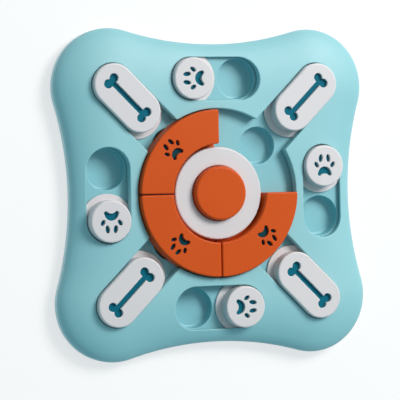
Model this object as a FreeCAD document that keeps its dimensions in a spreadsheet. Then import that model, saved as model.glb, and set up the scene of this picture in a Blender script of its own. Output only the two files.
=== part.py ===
import FreeCAD, Part
import math
import os
import re

import Sketcher

# Dog puzzle feeder toy, in millimetres, +Z up, origin at the middle of the foot plane.
# A four-lobed plate hides twelve food cups under sliding bone and paw lids and three ring segments
# that turn about a hub with a squeaker button.

Vector = FreeCAD.Vector
Placement = FreeCAD.Placement
Rotation = FreeCAD.Rotation
UP = Vector(0, 0, 1)
OVERCUT = 1.0
LEVEL_TOLERANCE = 1e-4

SIZES = [
    ("body_height", 20.5, "underside of the bottom cover to the flat top"),
    ("rim_height", 6, "visible side of the bottom cover"),
    ("rim_round", 1.6, "round under the bottom cover's rim"),
    ("lobe_radius", 44, "corner lobe of the outline"),
    ("lobe_flat", 4, "radius left flat in the middle of a lobe"),
    ("lobe_margin", 25.95, "end of a bone slot to the tip of its lobe"),
    ("slot_margin", 10.15, "edge slot to the hollow side beside it"),
    ("roll_land", 1.5, "straight side of the top cover under its roll-off"),
    ("cover_wall", 2.4, "top cover"),
    ("base_wall", 1.8, "floor of the bottom cover"),
    ("lap_wall", 1.4, "lap of the bottom cover inside the top cover"),
    ("lap_height", 2, "lap of the bottom cover inside the top cover"),
    ("fit_gap", 0.3, "gap between fixed mouldings"),
    ("slot_web", 6.15, "top between the recess and an edge slot"),
    ("slot_half", 19.4, "middle of an edge slot to the centre of its round end"),
    ("collar_wall", 2, "collar round slots and recess"),
    ("floor_depth", 8.6, "flat top down to the tray floor"),
    ("lip_rise", 1.9, "tray floor up to the underside of the collars"),
    ("tray_wall", 1.6, "tray plate"),
    ("tray_gap", 1, "edge of the tray to the inside of the top cover"),
    ("cup_wall", 1.4, "food cups and bellows cup"),
    ("cup_flange", 1.6, "flange of a cup under the tray"),
    ("cup_flange_height", 1.2, "flange of a cup"),
    ("cup_fit", 0.1, "cup to its hole in the tray"),
    ("cup_side_gap", 1.05, "side of an edge slot to its cup"),
    ("ring_cup_diameter", 28.6, "food cup under the ring"),
    ("corner_cup_diameter", 26, "food cup under a bone slider"),
    ("corner_cup_gap", 1.4, "end of a bone slot to its cup"),
    ("slide_gap", 0.2, "tray floor to the sliding pieces"),
    ("flange_height", 1.4, "flanges that stay under the collars"),
    ("flange_margin", 4.7, "flange beyond its cap"),
    ("flange_side", 1.8, "flange of a paw slider beyond the side of its slot"),
    ("flange_gap", 0.4, "flange to the wall beside it"),
    ("cap_width", 31.6, "slider caps"),
    ("cap_gap", 0.65, "slider cap to the side of its slot"),
    ("cap_rise", 3.9, "slider caps above the flat top"),
    ("cap_round", 1.4, "round on the top edge of the caps"),
    ("cap_wall", 2.4, "wall of the slider caps"),
    ("paw_rest_gap", 0.3, "paw slider at rest to the end of its travel"),
    ("bone_cap_length", 60, "bone slider cap"),
    ("bone_rest_gap", 4.05, "bone slider's flange to the ring segments"),
    ("bone_end_gap", 0.55, "bone slider to the end of its slot"),
    ("bone_span", 35.8, "bone cutout, knob pair to knob pair"),
    ("bone_knob", 3.1, "bone cutout, knob radius"),
    ("bone_spread", 6.2, "bone cutout, knob to knob across"),
    ("bone_shaft", 4.2, "bone cutout, shaft width"),
    ("paw_scale", 1, "paw cutout in the caps, 1 is about 16 across"),
    ("ring_paw_scale", 0.9, "paw cutout in the ring segments"),
    ("ring_paw_turn", 3.3, "ring paw beyond the diagonal, in degrees"),
    ("liner_wall", 1, "teal liner under the cutouts"),
    ("liner_gap", 0.15, "liner to the wall round it"),
    ("segment_width", 26, "ring segments, inside to outside"),
    ("segment_gap", 0.8, "ring segments to the recess"),
    ("segment_rise", 5, "ring segments above the flat top"),
    ("segment_split", 0.8, "gap between two ring segments"),
    ("segment_round", 1.2, "round on the top edges of the segments"),
    ("segment_wall", 2.4, "wall of the ring segments"),
    ("tongue_width", 3.7, "tongue of a segment under the hub ring"),
    ("tongue_gap", 3.1, "tongue to the inner skirt of the hub ring"),
    ("hub_diameter", 70, "hub ring"),
    ("hub_gap", 2.3, "hub ring to the segments"),
    ("hub_wall", 2.2, "hub ring"),
    ("hub_round", 1.2, "round on the hub ring's edges"),
    ("hub_post_wall", 3, "inner skirt of the hub ring"),
    ("hub_boss_diameter", 6.4, "screw bosses of the hub ring"),
    ("button_diameter", 40.8, "squeaker button"),
    ("button_rise", 5.9, "squeaker button above the flat top"),
    ("button_gap", 0.4, "button to the hub ring"),
    ("button_wall", 2.2, "squeaker button"),
    ("button_round", 1.8, "round on the button's top edge"),
    ("button_flange", 3, "flange of the button under the hub ring"),
    ("button_flange_height", 1.6, "flange of the button"),
    ("bellows_diameter", 28, "bellows over its folds"),
    ("bellows_gap", 3, "bellows to its cup"),
    ("bellows_fold", 3, "depth of a bellows fold"),
    ("bellows_wall", 1.2, "bellows"),
    ("vent_diameter", 4, "sound hole under the reed"),
    ("reed_diameter", 9, "reed plug in the foot of the bellows"),
    ("reed_fit", 0.1, "reed plug to the bellows"),
    ("reed_flange", 1.5, "flange of the reed plug"),
    ("reed_height", 6, "reed plug"),
    ("reed_bore", 3, "air way in the reed plug"),
    ("screw_diameter", 2.9, "screw thread"),
    ("screw_head", 5.6, "screw head"),
    ("screw_head_height", 2, "screw head"),
    ("screw_gap", 0.1, "screw to its hole, on the diameter"),
    ("screw_clear", 0.5, "screw to the holes that it passes, on the diameter"),
    ("screw_bite", 4, "screw in its boss"),
    ("screw_sink", 3.2, "counterbore under the bottom cover"),
    ("screw_boss_diameter", 7, "screw bosses of the top cover"),
    ("screw_post_diameter", 9, "screw posts of the bottom cover"),
    ("screw_in", 13.8, "centre of a lobe to its screws, towards the middle planes"),
    ("screw_out", 24.4, "centre of a lobe to its screws, outwards"),
    ("foot_diameter", 14, "foot pads"),
    ("foot_proud", 1.5, "foot pads below the underside"),
    ("foot_seat", 1.2, "depth of the seats of the foot pads"),
    ("foot_seat_gap", 0.2, "seat beyond its pad, on the diameter"),
    ("foot_seat_wall", 2, "wall round the seats of the foot pads"),
    ("foot_round", 0.5, "round on the foot pads"),
    ("foot_inset", 13.55, "tip of a lobe to the middle of its foot pad"),
]

LEVELS = [
    ("top_plane", "foot_proud + body_height", "flat top of the plate"),
    ("parting", "foot_proud + rim_height", "joint of the two covers"),
    ("roll_low", "parting + roll_land", "foot of the roll-off"),
    ("roll_depth", "top_plane - roll_low", "fall of the roll-off"),
    ("tray_floor", "top_plane - floor_depth", "floor that everything slides on"),
    ("tray_low", "tray_floor - tray_wall", "underside of the tray plate"),
    ("lip_level", "tray_floor + lip_rise", "underside of the collars"),
    ("base_top", "foot_proud + base_wall", "inside floor of the bottom cover"),
    ("cup_low", "base_top + fit_gap", "underside of the cups"),
    ("cup_floor", "cup_low + cup_wall", "inside floor of the cups"),
    ("slider_low", "tray_floor + slide_gap", "underside of sliding pieces"),
    ("flange_top", "slider_low + flange_height", "top of the flanges"),
    ("cap_top", "top_plane + cap_rise", "top of the slider caps"),
    ("segment_top", "top_plane + segment_rise", "top of the ring segments"),
    ("hub_under", "top_plane - hub_wall", "underside of the hub ring's plate"),
    ("button_top", "top_plane + button_rise", "top of the button"),
    ("button_under", "button_top - button_wall", "inside of the button"),
    ("button_catch", "hub_under - fit_gap", "top of the button's flange"),
    ("head_level", "foot_proud + screw_sink", "seat of the cover screws' heads"),
    ("cap_radius", "cap_width / 2", "round end of a cap"),
    ("slot_radius", "cap_radius + cap_gap", "round end of a slot"),
    ("flange_radius", "cap_radius + flange_margin", "round end of a flange"),
    ("segment_inner", "hub_diameter / 2 + hub_gap", "inside of the ring segments"),
    ("segment_outer", "segment_inner + segment_width", "outside of the ring segments"),
    ("segment_middle", "segment_inner + segment_width / 2", "middle line of the ring segments"),
    ("recess_radius", "segment_outer + segment_gap", "round recess in the top cover"),
    ("hub_post", "segment_inner - tongue_width - tongue_gap", "outside of the hub ring's inner skirt"),
    ("hub_screw_reach", "hub_post - hub_post_wall / 2", "plate centre to the hub screws"),
    ("slot_line", "recess_radius + slot_web + slot_radius", "plate centre to the middle line of an edge slot"),
    ("waist_half", "slot_line + slot_radius + slot_margin", "plate centre to a hollow side"),
    (
        "bone_cap_reach",
        "segment_outer + bone_rest_gap + flange_margin + bone_cap_length / 2",
        "plate centre to the middle of a bone cap",
    ),
    (
        "bone_slot_reach",
        "bone_cap_reach + bone_cap_length / 2 + bone_end_gap",
        "plate centre to the end of a bone slot",
    ),
    ("lobe_reach", "bone_slot_reach + lobe_margin", "plate centre to the tip of a lobe"),
    ("lobe_centre", "(lobe_reach - lobe_radius) / sqrt(2)", "centre of a lobe, both ways"),
    ("lobe_fall", "waist_half - lobe_centre", "lobe centre out to the hollow side"),
    (
        "waist_radius",
        "(lobe_centre ^ 2 + lobe_fall ^ 2 - lobe_radius ^ 2) / (2 * (lobe_radius - lobe_fall))",
        "hollow side of the outline",
    ),
    ("waist_centre", "waist_half + waist_radius", "centre of a hollow side"),
    ("roll_width", "lobe_radius - lobe_flat", "width of the roll-off inside the outline"),
    ("roll_share", "(tray_floor - roll_low) / (roll_depth - cover_wall)", "rise of the inner roll-off to the tray"),
    (
        "tray_inset",
        "cover_wall + (roll_width - cover_wall) * (1 - sqrt(1 - roll_share ^ 2)) + tray_gap",
        "outline of the plate to the edge of the tray",
    ),
    ("edge_cup", "slot_radius - cup_side_gap", "radius of an edge cup"),
    (
        "corner_cup_reach",
        "bone_slot_reach - corner_cup_diameter / 2 - corner_cup_gap",
        "plate centre to a corner cup",
    ),
    ("bellows_cup", "bellows_diameter / 2 + bellows_gap", "radius of the cup for the bellows"),
    ("paw_rest", "slot_half - paw_rest_gap", "middle of an edge slot to a cap at rest"),
    ("screw_near", "lobe_centre - screw_in", "screw from the middle plane, short way"),
    ("screw_far", "lobe_centre + screw_out", "screw from the middle plane, long way"),
    ("foot_reach", "lobe_reach - foot_inset", "plate centre to a foot pad"),
]

doc = FreeCAD.newDocument("PuzzleFeeder")
size_sheet = doc.addObject("Spreadsheet::Sheet", "Sizes")
level_sheet = doc.addObject("Spreadsheet::Sheet", "Levels")
SHEET_OF = {name: "Sizes" for name, _, _ in SIZES}
SHEET_OF.update({name: "Levels" for name, _, _ in LEVELS})


def spelled(text):
    """Expression text with each size's name led by its sheet."""
    return re.sub(
        r"[a-z][a-z_]*",
        lambda word: f"{SHEET_OF[word.group()]}.{word.group()}" if word.group() in SHEET_OF else word.group(),
        text,
    )


def number(text):
    """Value of an expression in the sheets' names."""
    return float(level_sheet.evalExpression(spelled(text)))


def bind(thing, field, text):
    """Tie a property or a constraint to an expression."""
    thing.setExpression(field, spelled(text))


def fill_sheets():
    """Write the driving sizes and the levels worked out from them."""
    for row, (name, value, note) in enumerate(SIZES, 1):
        size_sheet.set(f"A{row}", note)
        size_sheet.set(f"B{row}", str(value))
        size_sheet.setAlias(f"B{row}", name)
    doc.recompute()
    for row, (name, text, note) in enumerate(LEVELS, 1):
        level_sheet.set(f"A{row}", note)
        level_sheet.setAlias(f"B{row}", name)
        level_sheet.set(f"B{row}", "=" + spelled(text))
        doc.recompute()


# Sketches

def pin_point(sketch, geometry, point, x, y):
    """Tie one point of a sketch to expressions; either may be None."""
    for kind, text in (("DistanceX", x), ("DistanceY", y)):
        if text is not None:
            index = sketch.addConstraint(Sketcher.Constraint(kind, -1, 1, geometry, point, number(text)))
            bind(sketch, f"Constraints[{index}]", text)


def draw_path(sketch, start, steps):
    """Closed outline from a start through steps: ("line", x, y) or ("arc", centre x, centre y, x, y, way).

    Way is 1 for an arc that runs anticlockwise and -1 for one that runs clockwise.
    """
    here = Vector(number(start[0]), number(start[1]), 0)
    first = None
    previous = None
    for position, step in enumerate(steps):
        closing = position == len(steps) - 1
        end_x, end_y = (step[-3], step[-2]) if step[0] == "arc" else (step[-2], step[-1])
        there = Vector(number(end_x), number(end_y), 0)
        head, tail = 1, 2
        if step[0] == "line":
            index = sketch.addGeometry(Part.LineSegment(here, there), False)
        else:
            centre = Vector(number(step[1]), number(step[2]), 0)
            radius = (here - centre).Length
            angles = [math.atan2(spot.y - centre.y, spot.x - centre.x) for spot in (here, there)]
            if step[5] < 0:
                angles.reverse()
                head, tail = 2, 1
            circle = Part.Circle(centre, UP, radius)
            index = sketch.addGeometry(Part.ArcOfCircle(circle, angles[0], angles[1]), False)
            pin_point(sketch, index, 3, step[1], step[2])
        if previous is None:
            first = (index, head)
            pin_point(sketch, index, head, *start)
        else:
            sketch.addConstraint(Sketcher.Constraint("Coincident", *previous, index, head))
        if step[0] == "arc":
            steep = abs(there.x - centre.x) < abs(there.y - centre.y)
            pin_point(sketch, index, tail, end_x if steep else None, None if steep else end_y)
        elif closing:
            sketch.addConstraint(Sketcher.Constraint("Coincident", index, tail, *first))
        else:
            pin_point(sketch, index, tail, end_x, end_y)
        previous = (index, tail)
        here = there


def draw_circle(sketch, x, y, radius):
    """Circle tied to its centre and radius."""
    centre = Vector(number(x), number(y), 0)
    index = sketch.addGeometry(Part.Circle(centre, UP, number(radius)), False)
    pin_point(sketch, index, 3, x, y)
    held = sketch.addConstraint(Sketcher.Constraint("Radius", index, number(radius)))
    bind(sketch, f"Constraints[{held}]", radius)


def draw_stadium(sketch, start_x, end_x, radius):
    """Two half circles joined by straight sides, along X."""
    low = f"-({radius})"
    draw_path(sketch, (end_x, low), [
        ("arc", end_x, "0", end_x, radius, 1),
        ("line", start_x, radius),
        ("arc", start_x, "0", start_x, low, 1),
        ("line", end_x, low),
    ])


def draw_plate(sketch, inset):
    """Outline of the plate: lobes and hollow sides, drawn in by the inset.

    It starts at the middle of the rear side and runs clockwise.
    """
    slope_x = "(lobe_centre / (lobe_radius + waist_radius))"
    slope_y = "((waist_centre - lobe_centre) / (lobe_radius + waist_radius))"
    touch_x = f"(lobe_centre - {slope_x} * (lobe_radius - ({inset})))"
    touch_y = f"(lobe_centre + {slope_y} * (lobe_radius - ({inset})))"
    tip = f"(waist_half - ({inset}))"

    def turned(x, y, quarter):
        return [(x, y), (y, f"-({x})"), (f"-({x})", f"-({y})"), (f"-({y})", x)][quarter]

    steps = []
    for quarter in range(4):
        waist = turned("0", "waist_centre", quarter)
        lobe = turned("lobe_centre", "lobe_centre", quarter)
        next_waist = turned("waist_centre", "0", quarter)
        steps += [
            ("arc", *waist, *turned(touch_x, touch_y, quarter), 1),
            ("arc", *lobe, *turned(touch_y, touch_x, quarter), -1),
            ("arc", *next_waist, *turned(tip, "0", quarter), 1),
        ]
    draw_path(sketch, ("0", tip), steps)


def draw_sector(sketch, outer, inner, side):
    """Quarter of a ring from +X to +Y whose straight edges stand back by side."""
    def along(radius):
        return f"sqrt(({radius}) ^ 2 - ({side}) ^ 2)"

    draw_path(sketch, (along(outer), side), [
        ("arc", "0", "0", side, along(outer), 1),
        ("line", side, along(inner)),
        ("arc", "0", "0", along(inner), side, -1),
        ("line", along(outer), side),
    ])


def draw_paw(sketch, scale, x="0", y="0", turn="0"):
    """Paw of four oval toes and a palm whose toes point along +Y before the turn."""
    centre = Vector(number(x), number(y), 0)
    turning = Rotation(UP, number(turn))
    grow = number(scale)

    def spot(across, along):
        return centre + turning.multVec(Vector(across * grow, along * grow, 0))

    def toe(across, along, half_width, half_length, lean):
        axis = Rotation(UP, lean).multVec(Vector(0, half_length, 0))
        cross = Rotation(UP, lean).multVec(Vector(half_width, 0, 0))
        sketch.addGeometry(Part.Ellipse(
            spot(across + axis.x, along + axis.y), spot(across + cross.x, along + cross.y), spot(across, along),
        ), False)

    inner_toe = {"half_width": 1.65, "half_length": 3.05}
    outer_toe = {"half_width": 1.55, "half_length": 2.45}
    for side in (-1, 1):
        toe(side * 3.15, 5.8, lean=side * 8, **inner_toe)
        toe(side * 6.7, 0.9, lean=-side * 33, **outer_toe)
    palm = [
        (-5.5, -5.2), (0, -0.6), (5.5, -5.2),
        (5.1, -7.5), (3.1, -7.2), (0, -5.9), (-3.1, -7.2), (-5.1, -7.5),
    ]
    points = [spot(*pair) for pair in palm] + [spot(*palm[0])]
    for index in range(0, len(palm), 2):
        sketch.addGeometry(Part.Arc(*points[index:index + 3]), False)


def loose_sketch(name, level="0", turn=0):
    """Sketch at a level, turned about the plate's axis."""
    sketch = doc.addObject("Sketcher::SketchObject", name)
    sketch.Placement = Placement(Vector(0, 0, 0), Rotation(UP, turn))
    bind(sketch, "Placement.Base.z", level)
    return sketch


def body_sketch(body, name, plane="XY", level=None):
    """Sketch on one of a body's own planes, raised to a level."""
    sketch = body.newObject("Sketcher::SketchObject", f"{body.Name}_{name}")
    base = [item for item in body.Origin.OriginFeatures if item.Role == f"{plane}_Plane"][0]
    sketch.AttachmentSupport = [(base, "")]
    sketch.MapMode = "FlatFace"
    if level:
        bind(sketch, "AttachmentOffset.Base.z", level)
    return sketch


# Solids

def prism(name, draw, bottom, top, turn=0):
    """Upright solid over an outline, between two levels."""
    sketch = loose_sketch(name + "_outline", bottom, turn)
    draw(sketch)
    solid = doc.addObject("Part::Extrusion", name)
    solid.Base = sketch
    solid.DirMode = "Custom"
    solid.Dir = UP
    solid.Solid = True
    bind(solid, "LengthFwd", f"({top}) - ({bottom})")
    return solid


def cylinder(name, diameter, bottom, top, x="0", y="0"):
    """Upright cylinder between two levels."""
    solid = doc.addObject("Part::Cylinder", name)
    bind(solid, "Radius", f"({diameter}) / 2")
    bind(solid, "Height", f"({top}) - ({bottom})")
    bind(solid, "Placement.Base.x", x)
    bind(solid, "Placement.Base.y", y)
    bind(solid, "Placement.Base.z", bottom)
    return solid


def fuse(name, solids):
    """One solid from several."""
    joined = doc.addObject("Part::MultiFuse", name)
    joined.Shapes = solids
    joined.Refine = True
    return joined


def cut(name, base, tool):
    """Base less tool."""
    left = doc.addObject("Part::Cut", name)
    left.Base = base
    left.Tool = tool
    left.Refine = True
    return left


def pillow(name, inset, low, high, depth):
    """Plate outline raised from low to high, with a quarter-ellipse roll-off swept round its top edge."""
    def draw(sketch):
        draw_plate(sketch, inset)

    blank = prism(name + "_blank", draw, low, high)
    profile = doc.addObject("Sketcher::SketchObject", name + "_roll")
    profile.Placement = Placement(Vector(0, 0, 0), Rotation(Vector(0, 1, 0), UP, Vector(1, 0, 0), "XYZ"))
    rim = number(f"waist_half - ({inset})")
    flat = number("waist_half - roll_width")
    foot = number(f"({high}) - ({depth})")
    crown = number(high)
    ellipse = Part.Ellipse(Vector(rim, foot, 0), Vector(flat, crown, 0), Vector(flat, foot, 0))
    corners = [
        Vector(flat, crown, 0),
        Vector(flat, crown + OVERCUT, 0),
        Vector(rim + OVERCUT, crown + OVERCUT, 0),
        Vector(rim + OVERCUT, foot, 0),
        Vector(rim, foot, 0),
    ]
    profile.addGeometry(Part.ArcOfEllipse(ellipse, 0, math.pi / 2), False)
    for start, end in zip(corners, corners[1:]):
        profile.addGeometry(Part.LineSegment(start, end), False)
    sweep = doc.addObject("Part::Sweep", name + "_sweep")
    sweep.Sections = [profile]
    sweep.Spine = (doc.getObject(name + "_blank_outline"), [])
    sweep.Solid = True
    sweep.Frenet = False
    doc.recompute()
    return cut(name, blank, sweep)


def four(x, y):
    """The same place in each quarter of the plate, clockwise."""
    return [(x, y), (y, f"-({x})"), (f"-({x})", f"-({y})"), (f"-({y})", x)]


def new_body(name):
    """Empty body named after its node."""
    body = doc.addObject("PartDesign::Body", name)
    body.Label = name
    return body


def pad(body, name, draw, bottom, top):
    """Raise an outline from one level to another."""
    sketch = body_sketch(body, name + "_sketch", level=bottom)
    draw(sketch)
    feature = body.newObject("PartDesign::Pad", f"{body.Name}_{name}")
    feature.Profile = sketch
    bind(feature, "Length", f"({top}) - ({bottom})")
    doc.recompute()
    return feature


def pocket(body, name, draw, start, end, upward=False):
    """Cut an outline from a level down, or up, to another."""
    sketch = body_sketch(body, name + "_sketch", level=start)
    draw(sketch)
    before = body.Shape.Volume
    feature = body.newObject("PartDesign::Pocket", f"{body.Name}_{name}")
    feature.Profile = sketch
    feature.Reversed = upward
    bind(feature, "Length", f"({end}) - ({start})" if upward else f"({start}) - ({end})")
    doc.recompute()
    if body.Shape.Volume >= before:
        raise RuntimeError(f"{feature.Name} cuts nothing")
    return feature


def turn_profile(body, name, corners):
    """Revolve a closed outline of radius and level pairs about the body's axis."""
    sketch = body_sketch(body, name + "_sketch", plane="XZ")
    draw_path(sketch, corners[0], [("line", *corner) for corner in corners[1:] + corners[:1]])
    feature = body.newObject("PartDesign::Revolution", f"{body.Name}_{name}")
    feature.Profile = sketch
    feature.ReferenceAxis = (sketch, ["V_Axis"])
    feature.Angle = 360
    doc.recompute()
    return feature


def round_edges(body, name, level, radius, keep=lambda edge: True):
    """Round the edges of a body that lie at one level."""
    height = number(level)
    base = body.Tip
    names = [
        f"Edge{index}"
        for index, edge in enumerate(base.Shape.Edges, 1)
        if abs(edge.BoundBox.ZMin - height) < LEVEL_TOLERANCE
        and abs(edge.BoundBox.ZMax - height) < LEVEL_TOLERANCE
        and keep(edge)
    ]
    feature = body.newObject("PartDesign::Fillet", f"{body.Name}_{name}")
    feature.Base = (base, names)
    bind(feature, "Radius", radius)
    doc.recompute()
    return feature


fill_sheets()

# Top cover: a shell with collars hanging round its openings and screw bosses in its lobes.

SCREW_PLACES = [
    place
    for x, y in (("screw_near", "screw_far"), ("screw_far", "screw_near"))
    for place in four(x, y)
]
cover_outer = pillow("cover_outer", "0", "parting", "top_plane", "roll_depth")
cover_inner = pillow(
    "cover_inner", "cover_wall", f"parting - {OVERCUT}", "top_plane - cover_wall", "roll_depth - cover_wall"
)


def edge_slot(sketch, radius):
    """Edge slot outline in the frame of a sketch turned to its side."""
    x = "slot_half"
    y = "slot_line"
    draw_path(sketch, (x, f"{y} - ({radius})"), [
        ("arc", x, y, x, f"{y} + ({radius})", 1),
        ("line", f"-({x})", f"{y} + ({radius})"),
        ("arc", f"-({x})", y, f"-({x})", f"{y} - ({radius})", 1),
        ("line", x, f"{y} - ({radius})"),
    ])


def flange_way(sketch):
    """Space that a paw slider's flange sweeps under the collars."""
    x = "slot_half + flange_radius"
    half = "(slot_radius + flange_side + flange_gap)"
    draw_path(sketch, (f"-({x})", f"slot_line - {half}"), [
        ("line", x, f"slot_line - {half}"),
        ("line", x, f"slot_line + {half}"),
        ("line", f"-({x})", f"slot_line + {half}"),
        ("line", f"-({x})", f"slot_line - {half}"),
    ])


collars = [cylinder("recess_collar", "2 * (recess_radius + collar_wall)", "lip_level", "top_plane")]
openings = [cylinder("recess_opening", "2 * recess_radius", f"lip_level - {OVERCUT}", f"top_plane + {OVERCUT}")]
ways = []
for number_of_side in range(4):
    side_turn = -90 * number_of_side
    bone_turn = 45 - 90 * number_of_side
    collars.append(prism(
        f"edge_collar_{number_of_side}",
        lambda sketch: edge_slot(sketch, "slot_radius + collar_wall"),
        "lip_level", "top_plane", side_turn,
    ))
    collars.append(prism(
        f"bone_collar_{number_of_side}",
        lambda sketch: draw_stadium(
            sketch, "recess_radius / 2", "bone_slot_reach - slot_radius", "slot_radius + collar_wall"
        ),
        "lip_level", "top_plane", bone_turn,
    ))
    openings.append(prism(
        f"edge_opening_{number_of_side}",
        lambda sketch: edge_slot(sketch, "slot_radius"),
        f"lip_level - {OVERCUT}", f"top_plane + {OVERCUT}", side_turn,
    ))
    openings.append(prism(
        f"bone_opening_{number_of_side}",
        lambda sketch: draw_stadium(
            sketch, "recess_radius / 2", "bone_slot_reach - slot_radius", "slot_radius"
        ),
        f"lip_level - {OVERCUT}", f"top_plane + {OVERCUT}", bone_turn,
    ))
    ways.append(prism(f"flange_way_{number_of_side}", flange_way, f"tray_floor - {OVERCUT}", "lip_level", side_turn))
bosses = [
    cylinder(f"cover_boss_{index}", "screw_boss_diameter", "tray_floor", "top_plane", *place)
    for index, place in enumerate(SCREW_PLACES)
]
pilots = [
    cylinder(
        f"cover_pilot_{index}", "screw_diameter + screw_gap",
        f"tray_floor - {OVERCUT}", "tray_floor + screw_bite + fit_gap", *place,
    )
    for index, place in enumerate(SCREW_PLACES)
]
cover_hollow = cut("cover_hollow", cover_inner, fuse("cover_inside", collars + bosses))
cover_shell = cut("cover_shell", cover_outer, cover_hollow)
top_cover = cut("top_cover", cover_shell, fuse("cover_cuts", openings + ways + pilots))

# Food tray: a flat plate with a hole for each cup; the cups push up into it as far as their flanges.

SIDES = ["top", "right", "bottom", "left"]
CORNERS = ["upper_right", "lower_right", "lower_left", "upper_left"]
CUPS = [("bellows_cup", "bellows_cup", ("0", "0"))]
CUPS += [
    (f"edge_cup_{side}", "edge_cup", place)
    for side, place in zip(SIDES, four("slot_half", "slot_line"))
]
CUPS += [
    (f"ring_cup_{corner}", "ring_cup_diameter / 2", place)
    for corner, place in zip(CORNERS, four("segment_middle / sqrt(2)", "segment_middle / sqrt(2)"))
]
CUPS += [
    (f"corner_cup_{corner}", "corner_cup_diameter / 2", place)
    for corner, place in zip(CORNERS, four("corner_cup_reach / sqrt(2)", "corner_cup_reach / sqrt(2)"))
]
HUB_SCREW_PLACES = [
    (f"hub_screw_reach * cos({angle})", f"hub_screw_reach * sin({angle})") for angle in (90, 210, 330)
]
tray_plate = prism(
    "tray_plate", lambda sketch: draw_plate(sketch, "tray_inset"), "tray_low", "tray_floor"
)
tray_holes = [
    cylinder(
        f"{name}_hole", f"2 * ({radius} + cup_wall + cup_fit)",
        f"tray_low - {OVERCUT}", f"tray_floor + {OVERCUT}", *place,
    )
    for name, radius, place in CUPS
]
tray_holes += [
    cylinder(
        f"tray_hole_{index}", "screw_diameter + screw_clear",
        f"tray_low - {OVERCUT}", f"tray_floor + {OVERCUT}", *place,
    )
    for index, place in enumerate(SCREW_PLACES + HUB_SCREW_PLACES)
]
food_tray = cut("food_tray", tray_plate, fuse("tray_cuts", tray_holes))


def cup(name, radius, place, vent):
    """Straight cup with a flange below the tray, turned about its own axis and moved to its place."""
    body = new_body(name)
    middle = "vent_diameter / 2" if vent else "0"
    turn_profile(body, "wall", [
        (middle, "cup_low"),
        (f"{radius} + cup_wall", "cup_low"),
        (f"{radius} + cup_wall", "tray_low - cup_flange_height"),
        (f"{radius} + cup_wall + cup_flange", "tray_low - cup_flange_height"),
        (f"{radius} + cup_wall + cup_flange", "tray_low"),
        (f"{radius} + cup_wall", "tray_low"),
        (f"{radius} + cup_wall", "tray_floor"),
        (radius, "tray_floor"),
        (radius, "cup_floor"),
        (middle, "cup_floor"),
    ])
    bind(body, "Placement.Base.x", place[0])
    bind(body, "Placement.Base.y", place[1])
    return body


cups = [cup(name, radius, place, name == "bellows_cup") for name, radius, place in CUPS]

# Bottom cover: a shallow pan with a lap, screw posts and seats for the foot pads.

FOOT_PLACES = four("foot_reach / sqrt(2)", "foot_reach / sqrt(2)")
base_body = new_body("base_pan")
pad(base_body, "pan", lambda sketch: draw_plate(sketch, "0"), "foot_proud", "parting")
round_edges(base_body, "under", "foot_proud", "rim_round")
pad(
    base_body, "lap", lambda sketch: draw_plate(sketch, "cover_wall + fit_gap"),
    "parting", "parting + lap_height",
)
pocket(
    base_body, "lap_hollow", lambda sketch: draw_plate(sketch, "cover_wall + fit_gap + lap_wall"),
    "parting + lap_height", "base_top",
)
base_posts = [
    cylinder(f"base_post_{index}", "screw_post_diameter", "foot_proud + screw_sink / 2", "tray_low", *place)
    for index, place in enumerate(SCREW_PLACES)
]
base_posts += [
    cylinder(
        f"foot_boss_{index}", "foot_diameter + 2 * foot_seat_wall",
        "base_top - base_wall / 2", "foot_proud + foot_seat + base_wall", *place,
    )
    for index, place in enumerate(FOOT_PLACES)
]
base_holes = [
    cylinder(
        f"base_hole_{index}", "screw_diameter + screw_clear", f"foot_proud - {OVERCUT}",
        f"tray_low + {OVERCUT}", *place,
    )
    for index, place in enumerate(SCREW_PLACES)
]
base_holes += [
    cylinder(
        f"base_sink_{index}", "screw_head + screw_clear", f"foot_proud - {OVERCUT}", "head_level", *place
    )
    for index, place in enumerate(SCREW_PLACES)
]
base_holes += [
    cylinder(
        f"foot_seat_{index}", "foot_diameter + foot_seat_gap",
        f"foot_proud - {OVERCUT}", "foot_proud + foot_seat", *place,
    )
    for index, place in enumerate(FOOT_PLACES)
]
base_holes.append(cylinder("base_vent", "vent_diameter", f"foot_proud - {OVERCUT}", f"base_top + {OVERCUT}"))
bottom_cover = cut(
    "bottom_cover", fuse("base_blank", [base_body] + base_posts), fuse("base_cuts", base_holes)
)

# Hub ring: a plate with an outer skirt over the segments' tongues and an inner skirt on the tray.

hub_ring = new_body("hub_ring")
HUB_HOLE = "button_diameter / 2 + button_gap"
turn_profile(hub_ring, "ring", [
    (HUB_HOLE, "hub_under"),
    ("hub_post - hub_post_wall", "hub_under"),
    ("hub_post - hub_post_wall", "tray_floor"),
    ("hub_post", "tray_floor"),
    ("hub_post", "hub_under"),
    ("hub_diameter / 2 - hub_wall", "hub_under"),
    ("hub_diameter / 2 - hub_wall", "lip_level"),
    ("hub_diameter / 2", "lip_level"),
    ("hub_diameter / 2", "top_plane"),
    (HUB_HOLE, "top_plane"),
])
round_edges(hub_ring, "crown", "top_plane", "hub_round")


def hub_circles(diameter):
    """Drawing of one circle at each hub screw."""
    def draw(sketch):
        for x, y in HUB_SCREW_PLACES:
            draw_circle(sketch, x, y, f"({diameter}) / 2")

    return draw


pad(hub_ring, "bosses", hub_circles("hub_boss_diameter"), "tray_floor", "hub_under")
pocket(
    hub_ring, "pilots", hub_circles("screw_diameter + screw_gap"),
    "tray_floor", "tray_floor + screw_bite + fit_gap", upward=True,
)

# Squeaker: button, bellows and reed.

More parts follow.
